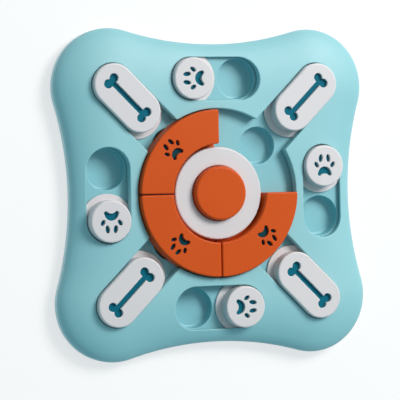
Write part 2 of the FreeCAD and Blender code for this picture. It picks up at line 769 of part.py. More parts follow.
squeaker_button = new_body("squeaker_button")
BUTTON_CORE = "button_diameter / 2 - button_wall"
BUTTON_EDGE = "button_diameter / 2 + button_flange"
turn_profile(squeaker_button, "cap", [
    ("0", "button_under"),
    (BUTTON_CORE, "button_under"),
    (BUTTON_CORE, "button_catch - button_flange_height"),
    (BUTTON_EDGE, "button_catch - button_flange_height"),
    (BUTTON_EDGE, "button_catch"),
    ("button_diameter / 2", "button_catch"),
    ("button_diameter / 2", "button_top"),
    ("0", "button_top"),
])
round_edges(squeaker_button, "crown", "button_top", "button_round")

squeaker_bellows = new_body("squeaker_bellows")
FOLDS = 4
FOLD_HEIGHT = f"((button_under - cup_floor - 2 * bellows_wall) / {FOLDS})"
VALLEY = "bellows_diameter / 2 - bellows_fold"
outside = [("reed_diameter / 2 + reed_fit", "cup_floor"), (VALLEY, "cup_floor")]
inside = []
for fold in range(FOLDS):
    ridge = f"cup_floor + bellows_wall + {FOLD_HEIGHT} * {fold + 0.5}"
    outside += [
        (VALLEY, f"cup_floor + bellows_wall + {FOLD_HEIGHT} * {fold}"),
        ("bellows_diameter / 2", ridge),
    ]
    inside += [
        (f"{VALLEY} - bellows_wall", f"cup_floor + bellows_wall + {FOLD_HEIGHT} * {fold}"),
        ("bellows_diameter / 2 - bellows_wall", ridge),
    ]
outside += [(VALLEY, "button_under - bellows_wall"), (VALLEY, "button_under"), ("0", "button_under")]
inside += [(f"{VALLEY} - bellows_wall", "button_under - bellows_wall"), ("0", "button_under - bellows_wall")]
foot_rim = ("reed_diameter / 2 + reed_fit", "cup_floor + bellows_wall")
turn_profile(squeaker_bellows, "folds", outside + inside[::-1] + [foot_rim])

squeaker_reed = new_body("squeaker_reed")
REED_SEAT = "cup_floor + bellows_wall + reed_fit"
turn_profile(squeaker_reed, "plug", [
    ("reed_bore / 2", "cup_floor"),
    ("reed_diameter / 2", "cup_floor"),
    ("reed_diameter / 2", REED_SEAT),
    ("reed_diameter / 2 + reed_flange", REED_SEAT),
    ("reed_diameter / 2 + reed_flange", f"{REED_SEAT} + reed_flange"),
    ("reed_diameter / 2", f"{REED_SEAT} + reed_flange"),
    ("reed_diameter / 2", "cup_floor + reed_height"),
    ("reed_bore / 2", "cup_floor + reed_height"),
])

# Ring segments: quarter rings with a tongue under the hub ring.

SEGMENTS = {"ring_segment_upper_left": 90, "ring_segment_lower_left": 180, "ring_segment_lower_right": 270}


def ring_segment(name, turn):
    """Quarter-ring lid with a paw cutout, turned to its place."""
    body = new_body(name)
    outer = "segment_outer"
    inner = "segment_inner"
    side = "segment_split / 2"
    wall = "segment_wall"
    pad(body, "block", lambda sketch: draw_sector(sketch, outer, inner, side), "slider_low", "segment_top")
    round_edges(body, "crown", "segment_top", "segment_round")
    pad(
        body, "tongue",
        lambda sketch: draw_sector(sketch, f"{inner} + {wall}", f"{inner} - tongue_width", side),
        "slider_low", "flange_top",
    )
    pocket(
        body, "core",
        lambda sketch: draw_sector(sketch, f"{outer} - {wall}", f"{inner} + {wall}", f"{side} + {wall}"),
        "slider_low", f"segment_top - {wall}", upward=True,
    )
    angle = "(45 + ring_paw_turn)"
    pocket(
        body, "paw",
        lambda sketch: draw_paw(
            sketch, "ring_paw_scale", f"segment_middle * cos({angle})", f"segment_middle * sin({angle})", "-45"
        ),
        "segment_top", f"segment_top - {wall} - {OVERCUT}",
    )
    body.Placement = Placement(Vector(0, 0, 0), Rotation(UP, turn))
    return body


segments = [ring_segment(name, turn) for name, turn in SEGMENTS.items()]


def liner(name, draw, under, turn):
    """Thin plate against the inside of a lid's top wall."""
    body = new_body(name)
    pad(body, "plate", draw, f"{under} - liner_wall", under)
    body.Placement = Placement(Vector(0, 0, 0), Rotation(UP, turn))
    return body


segment_edge = "segment_wall + liner_gap"
liners = [
    liner(
        name.replace("segment", "liner"),
        lambda sketch: draw_sector(
            sketch, f"segment_outer - ({segment_edge})", f"segment_inner + {segment_edge}",
            f"segment_split / 2 + {segment_edge}",
        ),
        "segment_top - segment_wall", turn,
    )
    for name, turn in SEGMENTS.items()
]

# Bone sliders: long caps on a flange, drawn along X and turned to their diagonal.

BONES = {
    "bone_slider_upper_right": 45,
    "bone_slider_lower_right": -45,
    "bone_slider_lower_left": -135,
    "bone_slider_upper_left": 135,
}
BONE_ENDS = [f"bone_cap_reach {side} (bone_cap_length / 2 - cap_radius)" for side in ("-", "+")]


def bone_slider(name, turn):
    """Long slider with a bone cutout through its top wall."""
    body = new_body(name)
    ends = BONE_ENDS
    pad(body, "cap", lambda sketch: draw_stadium(sketch, *ends, "cap_radius"), "slider_low", "cap_top")
    round_edges(body, "crown", "cap_top", "cap_round")
    pad(body, "flange", lambda sketch: draw_stadium(sketch, *ends, "flange_radius"), "slider_low", "flange_top")
    pocket(
        body, "core", lambda sketch: draw_stadium(sketch, *ends, "cap_radius - cap_wall"),
        "slider_low", "cap_top - cap_wall", upward=True,
    )
    through = f"cap_top - cap_wall - {OVERCUT}"

    def shaft(sketch):
        left, right = "bone_cap_reach - bone_span / 2", "bone_cap_reach + bone_span / 2"
        draw_path(sketch, (left, "-bone_shaft / 2"), [
            ("line", right, "-bone_shaft / 2"),
            ("line", right, "bone_shaft / 2"),
            ("line", left, "bone_shaft / 2"),
            ("line", left, "-bone_shaft / 2"),
        ])

    pocket(body, "shaft", shaft, "cap_top", through)
    for index, (end, side) in enumerate((("-", "-"), ("-", "+"), ("+", "-"), ("+", "+"))):
        pocket(
            body, f"knob_{index}",
            lambda sketch: draw_circle(
                sketch, f"bone_cap_reach {end} bone_span / 2", f"0 {side} bone_spread / 2", "bone_knob"
            ),
            "cap_top", through,
        )
    body.Placement = Placement(Vector(0, 0, 0), Rotation(UP, turn))
    return body


bones = [bone_slider(name, turn) for name, turn in BONES.items()]
liners += [
    liner(
        name.replace("slider", "liner"),
        lambda sketch: draw_stadium(sketch, *BONE_ENDS, "cap_radius - cap_wall - liner_gap"),
        "cap_top - cap_wall", turn,
    )
    for name, turn in BONES.items()
]

# Paw sliders: round caps on a flange with flat sides, one in each edge slot.

PAWS = [f"paw_slider_{side}" for side in SIDES]


def paw_slider(name, quarter):
    """Round slider with a paw cutout, drawn at the plate's centre and moved to its slot."""
    body = new_body(name)
    half = "(slot_radius + flange_side)"
    reach = f"sqrt(flange_radius ^ 2 - {half} ^ 2)"
    pad(body, "cap", lambda sketch: draw_circle(sketch, "0", "0", "cap_radius"), "slider_low", "cap_top")
    round_edges(body, "crown", "cap_top", "cap_round")
    pad(
        body, "flange",
        lambda sketch: draw_path(sketch, (reach, f"-{half}"), [
            ("arc", "0", "0", reach, half, 1),
            ("line", f"-{reach}", half),
            ("arc", "0", "0", f"-{reach}", f"-{half}", 1),
            ("line", reach, f"-{half}"),
        ]),
        "slider_low", "flange_top",
    )
    pocket(
        body, "core", lambda sketch: draw_circle(sketch, "0", "0", "cap_radius - cap_wall"),
        "slider_low", "cap_top - cap_wall", upward=True,
    )
    pocket(
        body, "paw", lambda sketch: draw_paw(sketch, "paw_scale", turn="90"),
        "cap_top", f"cap_top - cap_wall - {OVERCUT}",
    )
    move_to_slot(body, quarter)
    return body


def move_to_slot(body, quarter):
    """Turn a body to an edge slot and move it to the cap's place at rest."""
    x, y = four("-paw_rest", "slot_line")[quarter]
    body.Placement = Placement(Vector(0, 0, 0), Rotation(UP, -90 * quarter))
    bind(body, "Placement.Base.x", x)
    bind(body, "Placement.Base.y", y)


paws = [paw_slider(name, quarter) for quarter, name in enumerate(PAWS)]
for quarter, name in enumerate(PAWS):
    liners.append(liner(
        name.replace("slider", "liner"),
        lambda sketch: draw_circle(sketch, "0", "0", "cap_radius - cap_wall - liner_gap"),
        "cap_top - cap_wall", 0,
    ))
    move_to_slot(liners[-1], quarter)

# Foot pads and screws.

FEET = ["foot_pad_rear_right", "foot_pad_front_right", "foot_pad_front_left", "foot_pad_rear_left"]


def foot_pad(name, place):
    """Soft round pad with a rounded lower edge."""
    body = new_body(name)
    pad(
        body, "disc", lambda sketch: draw_circle(sketch, "0", "0", "foot_diameter / 2"),
        "0", "foot_proud + foot_seat",
    )
    round_edges(body, "edge", "0", "foot_round")
    bind(body, "Placement.Base.x", place[0])
    bind(body, "Placement.Base.y", place[1])
    return body


feet = [foot_pad(name, place) for name, place in zip(FEET, FOOT_PLACES)]


def screws(name, places, seat, tip):
    """Screws with a head under the seat level, a shank up to the tip and a straight driver slot."""
    pieces = []
    for index, (x, y) in enumerate(places):
        head = cylinder(f"{name}_head_{index}", "screw_head", f"{seat} - screw_head_height", seat, x, y)
        shank = cylinder(f"{name}_shank_{index}", "screw_diameter", seat, tip, x, y)
        slot = doc.addObject("Part::Box", f"{name}_slot_{index}")
        bind(slot, "Length", "screw_head")
        bind(slot, "Width", "screw_head / 6")
        bind(slot, "Height", "screw_head_height / 2")
        bind(slot, "Placement.Base.x", f"{x} - screw_head / 2")
        bind(slot, "Placement.Base.y", f"{y} - screw_head / 12")
        bind(slot, "Placement.Base.z", f"{seat} - screw_head_height")
        pieces.append(cut(f"{name}_{index}", fuse(f"{name}_whole_{index}", [head, shank]), slot))
    group = doc.addObject("Part::Compound", name)
    group.Links = pieces
    return group


cover_screws = screws("cover_screws", SCREW_PLACES, "head_level", "tray_floor + screw_bite")
hub_screws = screws("hub_screws", HUB_SCREW_PLACES, "tray_low", "tray_floor + screw_bite")

doc.recompute()

NODES = [top_cover, food_tray, bottom_cover, hub_ring, squeaker_button, squeaker_bellows, squeaker_reed]
NODES += cups + segments + bones + paws + liners + feet + [cover_screws, hub_screws]

for item in doc.Objects:
    faults = [state for state in item.State if state in ("Invalid", "Error")]
    if faults:
        raise RuntimeError(f"{item.Label}: {faults}")
for node in NODES:
    if node.Shape.isNull() or not node.Shape.isValid():
        raise RuntimeError(f"{node.Label} has no valid shape")

os.makedirs("parts", exist_ok=True)
for node in NODES:
    node.Shape.exportStep(f"parts/{node.Label}.step")
    box = node.Shape.BoundBox
    print(f"{node.Label}: {len(node.Shape.Solids)} solids, {node.Shape.Volume / 1000:.2f} ml, "
          f"z {box.ZMin:.2f} to {box.ZMax:.2f}")
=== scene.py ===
"""A dog's puzzle feeder: a wavy blue plate of food cups under white sliding lids and an orange turning ring.

Sizes are in millimetres in the classes and become metres when a mesh is made.
"""

from __future__ import annotations

import logging
import math
from collections.abc import Callable, Sequence
from dataclasses import dataclass, field
from enum import Enum

import bmesh
import bpy
import numpy as np
from mathutils import Matrix, Vector
from mathutils.geometry import delaunay_2d_cdt

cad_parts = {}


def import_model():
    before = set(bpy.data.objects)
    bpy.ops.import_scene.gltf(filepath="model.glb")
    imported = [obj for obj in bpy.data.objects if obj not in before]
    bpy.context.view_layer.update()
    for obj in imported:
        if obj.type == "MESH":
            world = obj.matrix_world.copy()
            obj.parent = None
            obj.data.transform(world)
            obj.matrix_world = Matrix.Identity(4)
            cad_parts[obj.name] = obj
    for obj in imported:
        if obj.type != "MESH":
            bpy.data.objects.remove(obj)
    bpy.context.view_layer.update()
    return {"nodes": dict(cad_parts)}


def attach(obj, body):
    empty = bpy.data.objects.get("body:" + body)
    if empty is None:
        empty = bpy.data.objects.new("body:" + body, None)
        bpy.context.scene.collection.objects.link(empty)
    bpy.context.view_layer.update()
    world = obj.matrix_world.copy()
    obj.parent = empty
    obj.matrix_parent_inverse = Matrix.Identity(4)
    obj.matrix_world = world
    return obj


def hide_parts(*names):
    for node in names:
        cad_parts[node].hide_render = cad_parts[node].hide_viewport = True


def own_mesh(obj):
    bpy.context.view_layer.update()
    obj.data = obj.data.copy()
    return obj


logging.basicConfig(level=logging.INFO, format="%(message)s")
LOG = logging.getLogger("puzzle_feeder")

Points = np.ndarray
MILLIMETRE = 0.001
PHOTO_SIDE = 400
WELD = 2e-6
SHARP_ANGLE = math.radians(38)
LEAST_MITRE = 0.6
PATCH_ERROR = 1e-7
# Width of the flat row beside a rounded edge, which keeps the shading of the face even
SUPPORT = 0.3
# Middle line of the edge slots: its distance from the plate's axis and half its length
SLOT_LINE = 86.7
SLOT_REACH = 19.4
# Distance of the feet from each middle plane
FOOT_LINE = 145.0 / math.sqrt(2)
SIDES = ("top", "right", "bottom", "left")
CORNERS = ("upper_right", "lower_right", "lower_left", "upper_left")
CUP_SIDES = {"edge": SIDES, "ring": CORNERS, "corner": CORNERS}


class Quarter(Enum):
    """The four quarters of the plate as quarter turns clockwise from the upper right or the top."""

    FIRST = 0
    SECOND = 1
    THIRD = 2
    FOURTH = 3

    @property
    def radians(self) -> float:
        """Turn of this quarter about the plate's axis."""
        return -self.value * math.pi / 2

    def place(self, x: float, y: float) -> tuple[float, float]:
        """Where a point of the first quarter lies in this one."""
        spot = turned_by(np.array([[x, y]]), self.radians)[0]
        return float(spot[0]), float(spot[1])


# Plane curves

def arc(centre: tuple[float, float], radius: float, start: float, end: float, count: int) -> Points:
    """Points on a circle from one angle up to, but without, another.

    Args:
        centre: middle of the circle.
        radius: its radius.
        start: first angle in degrees.
        end: angle in degrees after the last point; it may be smaller than start.
        count: number of points.

    Returns:
        An array of count points.
    """
    angles = np.radians(np.linspace(start, end, count, endpoint=False))
    return np.stack([centre[0] + radius * np.cos(angles), centre[1] + radius * np.sin(angles)], axis=1)


def straight(start: tuple[float, float], end: tuple[float, float], count: int) -> Points:
    """Evenly spaced points from start up to, but without, end."""
    share = np.linspace(0, 1, count, endpoint=False)[:, None]
    return np.asarray(start) * (1 - share) + np.asarray(end) * share


def turned_by(points: Points, angle: float) -> Points:
    """Points turned about the plate's axis; their height, if they have one, stays.

    Args:
        points: array of points in the plane or in space.
        angle: anticlockwise turn in radians.

    Returns:
        A new array of the same shape.
    """
    cosine, sine = math.cos(angle), math.sin(angle)
    turned = points.copy()
    turned[:, 0] = points[:, 0] * cosine - points[:, 1] * sine
    turned[:, 1] = points[:, 0] * sine + points[:, 1] * cosine
    return turned


def offset(loop: Points, distance: float) -> Points:
    """Loop moved outwards: each point goes along the mean normal of its two edges, mitred.

    Args:
        loop: anticlockwise closed loop.
        distance: outward distance, negative for inwards.

    Returns:
        A loop of as many points.
    """
    if distance == 0:
        return loop.copy()
    ahead = np.roll(loop, -1, axis=0) - loop
    normals = np.stack([ahead[:, 1], -ahead[:, 0]], axis=1)
    normals /= np.linalg.norm(normals, axis=1, keepdims=True)
    mean = normals + np.roll(normals, 1, axis=0)
    mean /= np.linalg.norm(mean, axis=1, keepdims=True)
    mitre = 1 / np.clip((mean * normals).sum(axis=1, keepdims=True), LEAST_MITRE, 1)
    return loop + mean * mitre * distance


def inside(points: Points, loop: Points) -> Points:
    """Which points lie in a loop: an odd number of its edges cross the ray to +X.

    Args:
        points: points in the plane.
        loop: closed loop.

    Returns:
        True or False for each point.
    """
    x, y = points[:, 0:1], points[:, 1:2]
    here, there = loop, np.roll(loop, -1, axis=0)
    spans = (here[None, :, 1] > y) != (there[None, :, 1] > y)
    rise = there[:, 1] - here[:, 1]
    slope = (there[:, 0] - here[:, 0]) / np.where(rise == 0, 1, rise)
    crossing = here[None, :, 0] + (y - here[None, :, 1]) * slope[None, :]
    return (np.count_nonzero(spans & (x < crossing), axis=1) % 2).astype(bool)


def clear_of(points: Points, loop: Points, distance: float) -> Points:
    """Which points are further than a distance from every point of a loop."""
    gaps = np.linalg.norm(points[:, None, :] - loop[None, :, :], axis=2)
    return gaps.min(axis=1) > distance


def circle_loop(centre: tuple[float, float], radius: float, count: int) -> Points:
    """Closed circle."""
    return arc(centre, radius, 0, 360, count)


def stadium_loop(start: float, end: float, radius: float, line: float = 0.0) -> Points:
    """Two half circles joined by straight sides along X.

    Args:
        start: X of the first half circle's centre.
        end: X of the other's centre.
        radius: radius of both.
        line: Y of both centres.

    Returns:
        An anticlockwise loop.
    """
    return np.concatenate([
        arc((end, line), radius, -90, 90, 36),
        straight((end, line + radius), (start, line + radius), 16),
        arc((start, line), radius, 90, 270, 36),
        straight((start, line - radius), (end, line - radius), 16),
    ])


def quarter_round(radius: float, top: float, steps: int = 5) -> list[tuple[float, float]]:
    """Inset and level rows of a quarter circle from a wall up to a flat top."""
    angles = np.linspace(0, math.pi / 2, steps)
    return [(radius * (1 - math.cos(a)), top - radius + radius * math.sin(a)) for a in angles]


def ring_at(loop: Points, level: float | Points) -> Points:
    """Loop raised to a level."""
    return np.column_stack([loop, np.broadcast_to(level, len(loop))])


# Meshes

class MeshDraft:
    """Collects bands of quads and filled patches, and turns them into one closed mesh."""

    def __init__(self) -> None:
        """Start empty."""
        self.vertices: list[Points] = []
        self.faces: list[tuple[int, ...]] = []
        self.count = 0

    def _add(self, points: Points) -> int:
        """Store points.

        Args:
            points: points in space.

        Returns:
            The index of the first.
        """
        first = self.count
        self.vertices.append(points)
        self.count += len(points)
        return first

    def band(self, rings: Sequence[Points]) -> None:
        """Quads between successive closed rings: a surface of ring number and place along the ring.

        Args:
            rings: arrays of points in space, all of one length.
        """
        first = self._add(np.concatenate(rings))
        size = len(rings[0])
        row = np.arange(size)
        after = (row + 1) % size
        for index in range(len(rings) - 1):
            low = first + index * size
            high = low + size
            quads = np.stack([low + row, low + after, high + after, high + row], axis=1)
            self.faces.extend(map(tuple, quads.tolist()))

    def patch(
        self,
        outer: Points,
        holes: Sequence[Points] = (),
        level: float | Callable[[Points], Points] = 0.0,
        inner: Points | None = None,
    ) -> None:
        """Triangles inside an outer loop and outside its holes, lifted to a level.

        Args:
            outer: outer loop in the plane.
            holes: loops to leave open.
            level: one height, or heights as a function of points.
            inner: further points to use inside.
        """
        loops = [outer, *holes]
        edges = []
        start = 0
        for loop in loops:
            edges += [(start + i, start + (i + 1) % len(loop)) for i in range(len(loop))]
            start += len(loop)
        given = np.concatenate(loops + ([inner] if inner is not None else []))
        found, _, triangles, _, _, _ = delaunay_2d_cdt([Vector(p) for p in given], edges, [], 0, PATCH_ERROR)
        flat = np.array([tuple(p) for p in found])
        corners = np.array(triangles)
        middles = flat[corners].mean(axis=1)
        keep = inside(middles, outer)
        for hole in holes:
            keep &= ~inside(middles, hole)
        heights = level(flat) if callable(level) else np.full(len(flat), level)
        first = self._add(np.column_stack([flat, heights]))
        self.faces.extend(map(tuple, (corners[keep] + first).tolist()))

    def finish(
        self, name: str, turn: float = 0.0, shift: tuple[float, float] = (0.0, 0.0)
    ) -> bpy.types.Object:
        """Weld, turn the faces outwards, smooth, and link the object.

        Args:
            name: the piece's name.
            turn: angle in radians about the plate's axis, made first.
            shift: move along X and Y, made after the turn.

        Returns:
            The new object, at the origin.
        """
        points = turned_by(np.concatenate(self.vertices), turn)
        points[:, :2] += shift
        mesh = bpy.data.meshes.new(name)
        mesh.from_pydata((points * MILLIMETRE).tolist(), [], self.faces)
        work = bmesh.new()
        work.from_mesh(mesh)
        bmesh.ops.remove_doubles(work, verts=work.verts, dist=WELD)
        bmesh.ops.recalc_face_normals(work, faces=work.faces)
        open_edges = sum(not edge.is_manifold for edge in work.edges)
        work.to_mesh(mesh)
        work.free()
        mesh.polygons.foreach_set("use_smooth", np.ones(len(mesh.polygons), dtype=bool))
        mesh.set_sharp_from_angle(angle=SHARP_ANGLE)
        thing = bpy.data.objects.new(name, mesh)
        bpy.context.scene.collection.objects.link(thing)
        LOG.info("%s: %d faces, %d open edges", name, len(mesh.polygons), open_edges)
        return thing


def turned_draft(profile: Sequence[tuple[float, float]], count: int) -> MeshDraft:
    """Profile of radius and level pairs carried round the plate's axis.

    A profile that starts or ends on a radius gets a flat disc there; one that returns to its start closes.

    Args:
        profile: radius and level of each ring.
        count: number of points round the axis.

    Returns:
        The draft mesh.
    """
    draft = MeshDraft()
    rings = [ring_at(circle_loop((0, 0), radius, count), level) for radius, level in profile]
    if profile[0] != profile[-1]:
        for end in (0, -1):
            draft.patch(rings[end][:, :2], level=profile[end][1])
    draft.band(rings)
    return draft


# The plate's outline and its soft roll-off

@dataclass(frozen=True)
class PlateForm:
    """Outline of four lobes joined by hollow sides, and the heights of its top."""

    width: float = 250.0
    waist: float = 226.6
    lobe: float = 44.0
    top: float = 22.0
    parting: float = 7.5
    roll_foot: float = 9.0
    roll_width: float = 40.0
    steep: float = 8.0

    @property
    def lobe_centre(self) -> float:
        """Distance of a lobe's centre from each middle plane."""
        return self.width / 2 - self.lobe

    @property
    def hollow(self) -> float:
        """Radius of a hollow side: the circle that touches both lobes and passes the waist."""
        fall = self.waist / 2 - self.lobe_centre
        return (self.lobe_centre**2 + fall**2 - self.lobe**2) / (2 * (self.lobe - fall))

    @property
    def hollow_centre(self) -> float:
        """Distance of a hollow side's centre from the plate's axis."""
        return self.waist / 2 + self.hollow

    def loop(self) -> Points:
        """Outline: a lobe arc and a hollow arc for each quarter.

        Returns:
            An anticlockwise loop.
        """
        c, far = self.lobe_centre, self.hollow_centre
        touch = math.degrees(math.atan2(far - c, -c))
        lobe = arc((c, c), self.lobe, 90 - touch, touch, 44)
        side = arc((0, far), self.hollow, touch - 180, -touch, 40)
        corner = np.concatenate([lobe, side])
        return np.concatenate([turned_by(corner, k * math.pi / 2) for k in range(4)])

    def depth_inside(self, points: Points) -> Points:
        """Distance from the outline, inwards.

        Every point folds into one eighth of the plate; there the nearest edge is the lobe where the point is
        seen from the lobe's centre within its arc, and the hollow side elsewhere.

        Args:
            points: points in the plane.

        Returns:
            One distance for each point.
        """
        folded = np.abs(points)
        folded = np.column_stack([folded.min(axis=1), folded.max(axis=1)])
        c, far = self.lobe_centre, self.hollow_centre
        from_lobe = folded - c
        angle = np.arctan2(from_lobe[:, 1], from_lobe[:, 0])
        touch = math.atan2(far - c, -c)
        near_lobe = (angle >= math.pi / 4 - 1e-9) & (angle <= touch)
        lobe = self.lobe - np.linalg.norm(from_lobe, axis=1)
        side = np.hypot(folded[:, 0], far - folded[:, 1]) - self.hollow
        return np.where(near_lobe, lobe, side)

    def height(self, points: Points) -> Points:
        """Top surface: flat inside the roll-off, and a quarter ellipse down to its foot."""
        across = np.clip((self.roll_width - self.depth_inside(points)) / self.roll_width, 0, 1)
        return self.roll_foot + (self.top - self.roll_foot) * np.sqrt(1 - across**2)

    def roll_rows(self) -> list[tuple[float, float]]:
        """Rows down the steep part of the roll-off, evenly spaced by the ellipse's angle.

        Returns:
            Inset and level of each row, from its foot up.
        """
        last = math.acos(1 - self.steep / self.roll_width)
        angles = np.linspace(0, last, 14)
        rise = self.top - self.roll_foot
        return [(self.roll_width * (1 - math.cos(a)), self.roll_foot + rise * math.sin(a)) for a in angles]


# Finishes

def linear(colour: str) -> tuple[float, float, float, float]:
    """Linear colour of an sRGB hex value."""
    channels = [int(colour[i:i + 2], 16) / 255 for i in (1, 3, 5)]
    return (*[c / 12.92 if c <= 0.04045 else ((c + 0.055) / 1.055) ** 2.4 for c in channels], 1.0)


def add_node(
    tree: bpy.types.NodeTree,
    kind: str,
    settings: dict[str | int, object] | None = None,
    links: dict[str | int, bpy.types.NodeSocket] | None = None,
) -> bpy.types.Node:
    """Add a node.

    Args:
        tree: node tree that takes it.
        kind: node type.
        settings: properties of the node, or default values of its inputs by name or number.
        links: sockets that feed its inputs, by name or number.

    Returns:
        The node.
    """
    node = tree.nodes.new(kind)
    for key, value in (settings or {}).items():
        if isinstance(key, str) and hasattr(node, key):
            setattr(node, key, value)
        else:
            node.inputs[key].default_value = value
    for key, socket in (links or {}).items():
        tree.links.new(socket, node.inputs[key])
    return node


class FinishDraft:
    """A new material: its shader, and patterns of a real size on the piece's own coordinates."""

    def __init__(self, name: str) -> None:
        """Start a material.

        Args:
            name: its name.
        """
        self.material = bpy.data.materials.new(name)
        self.material.use_nodes = True
        self.tree = self.material.node_tree
        self.shader = self.tree.nodes["Principled BSDF"]
        self.place = add_node(self.tree, "ShaderNodeTexCoord").outputs["Object"]

    def mottle(
        self, size_mm: float, tones: tuple[str, str], stops: tuple[float, float] = (0.0, 1.0), **noise: float
    ) -> None:
        """Let the colour drift between two tones.

        Args:
            size_mm: width of a patch.
            tones: both colours.
            stops: where in the range of the noise each tone is pure.
            noise: further settings of the noise.
        """
        patches = add_node(
            self.tree, "ShaderNodeTexNoise",
            {"Scale": 1 / (size_mm * MILLIMETRE), **noise}, {"Vector": self.place},
        )
        tone = add_node(self.tree, "ShaderNodeValToRGB", links={"Fac": patches.outputs["Fac"]})
        for element, stop, colour in zip(tone.color_ramp.elements, stops, tones):
            element.position = stop
            element.color = linear(colour)
        self.tree.links.new(tone.outputs["Color"], self.shader.inputs["Base Color"])

    def sheen(self, size_mm: float, smooth: float, rough: float, detail: float) -> None:
        """Let the roughness drift between two values.

        Args:
            size_mm: width of a patch.
            smooth: least roughness.
            rough: most roughness.
            detail: finer steps in the noise.
        """
        patches = add_node(
            self.tree, "ShaderNodeTexNoise",
            {"Scale": 1 / (size_mm * MILLIMETRE), "Detail": detail}, {"Vector": self.place},
        )
        gloss = add_node(
            self.tree, "ShaderNodeMapRange", {"To Min": smooth, "To Max": rough},
            {"Value": patches.outputs["Fac"]},
        )
        self.tree.links.new(gloss.outputs["Result"], self.shader.inputs["Roughness"])

    def grain(self, size_mm: float, height_mm: float, detail: float, strength: float) -> None:
        """Raise a noise bump.

        Args:
            size_mm: width of a grain.
            height_mm: its height.
            detail: finer steps in the noise.
            strength: share of the height that shows.
        """
        grains = add_node(
            self.tree, "ShaderNodeTexNoise",
            {"Scale": 1 / (size_mm * MILLIMETRE), "Detail": detail}, {"Vector": self.place},
        )
        bump = add_node(
            self.tree, "ShaderNodeBump", {"Strength": strength, "Distance": height_mm * MILLIMETRE},
            {"Height": grains.outputs["Fac"]},
        )
        self.tree.links.new(bump.outputs["Normal"], self.shader.inputs["Normal"])


@dataclass(frozen=True)
class MouldedPlastic:
    """Injection-moulded ABS: a satin face from the grain of its tool, with faint flow shading."""

    name: str
    colour: str
    flow_colour: str
    roughness: float
    shine: float = 0.5
    ior: float = 1.53
    flow_mm: float = 60.0
    sheen_mm: float = 25.0
    sheen_drift: float = 0.04
    # The tool's grain is about 0.1 mm wide and is drawn coarser, so that it shows close up
    grain_mm: float = 0.55
    grain_height_mm: float = 0.012
    grain_share: float = 0.35

    def make(self) -> bpy.types.Material:
        """Build the material: broad flow shading, a sheen that varies, and a fine grain.

        Returns:
            The material.
        """
        draft = FinishDraft(self.name)
        tones = (self.flow_colour, self.colour)
        draft.mottle(self.flow_mm, tones, (0.3, 0.7), Detail=2.0, Roughness=0.4, Distortion=0.6)
        least, most = self.roughness - self.sheen_drift, self.roughness + self.sheen_drift
        draft.sheen(self.sheen_mm, least, most, 3.0)
        draft.grain(self.grain_mm, self.grain_height_mm, 2.0, self.grain_share)
        draft.shader.inputs["IOR"].default_value = self.ior
        draft.shader.inputs["Specular IOR Level"].default_value = self.shine
        return draft.material


@dataclass(frozen=True)
class SoftRubber:
    """Moulded thermoplastic rubber: matt, with a coarse powdery grain."""

    name: str
    colour: str
    dust_colour: str
    roughness: float = 0.78
    ior: float = 1.5
    dust_mm: float = 4.0
    grain_mm: float = 0.8
    grain_height_mm: float = 0.03
    grain_share: float = 0.5

    def make(self) -> bpy.types.Material:
        """Build the material: a dusty mottle and a matt grain.

        Returns:
            The material.
        """
        draft = FinishDraft(self.name)
        draft.mottle(self.dust_mm, (self.colour, self.dust_colour), (0.35, 0.75), Detail=5.0)
        draft.grain(self.grain_mm, self.grain_height_mm, 3.0, self.grain_share)
        draft.shader.inputs["Roughness"].default_value = self.roughness
        draft.shader.inputs["IOR"].default_value = self.ior
        return draft.material


@dataclass(frozen=True)
class ZincSteel:
    """Zinc-plated steel screw: bright grey metal whose sheen varies like a tumbled plating."""

    name: str = "zinc_plated_steel"
    colour: str = "#B4B6B8"
    sheen_mm: float = 0.6
    smooth: float = 0.25
    rough: float = 0.45

    def make(self) -> bpy.types.Material:
        """Build the material: one grey, and a sheen that varies.

        Returns:
            The material.
        """
        draft = FinishDraft(self.name)
        draft.sheen(self.sheen_mm, self.smooth, self.rough, 4.0)
        draft.shader.inputs["Base Color"].default_value = linear(self.colour)
        draft.shader.inputs["Metallic"].default_value = 1.0
        return draft.material


class Finishes:
    """All finishes of the toy, made once."""

    def __init__(self) -> None:
        """Make the finishes; the second tone of each is that of the flow lines or the dust."""
        self.plate = MouldedPlastic("blue_abs_plate", "#8AC3C9", "#85BFC6", 0.56, 0.8).make()
        self.tray = MouldedPlastic("blue_abs_tray", "#82BEC6", "#7CB9C2", 0.42).make()
        # Blue plastic paled almost to white, to paint the light that the white floor throws on the rim
        self.base = MouldedPlastic("blue_abs_base_painted_light", "#D2ECF0", "#CBE7EC", 0.42).make()
        self.white = MouldedPlastic("white_abs_lids", "#DAD4D4", "#D6D0D1", 0.38, 0.3).make()
        self.orange = MouldedPlastic("orange_abs_ring", "#D3541B", "#CF5119", 0.36, 0.12).make()
        # The lids' liner is teal plastic darkened to paint the shade inside the bone and paw cutouts
        self.liner = MouldedPlastic("teal_liner_painted_shade", "#03667A", "#026176", 0.5, 0.08).make()
        # The ring's liner is dark teal that paints the deep shade inside the ring's paw cutouts
        self.ring_liner = MouldedPlastic("teal_liner_painted_deep_shade", "#0B414A", "#0A3D46", 0.5, 0.08).make()
        self.bellows = SoftRubber("natural_rubber_bellows", "#C4BCAB", "#D3CCBD").make()
        self.foot = SoftRubber("grey_rubber_feet", "#3B3E40", "#55585A").make()
        self.steel = ZincSteel().make()


def place_piece(
    piece: bpy.types.Object, finish: bpy.types.Material, body: str, replaced: Sequence[str]
) -> None:
    """Dress a piece and tie it to its body.

    Args:
        piece: the finished object.
        finish: its material.
        body: body that it moves with.
        replaced: nodes that it stands for.
    """
    piece.data.materials.clear()
    piece.data.materials.append(finish)
    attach(piece, body)
    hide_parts(*replaced)
    LOG.info("placed %s on %s", piece.name, body)


# Plate

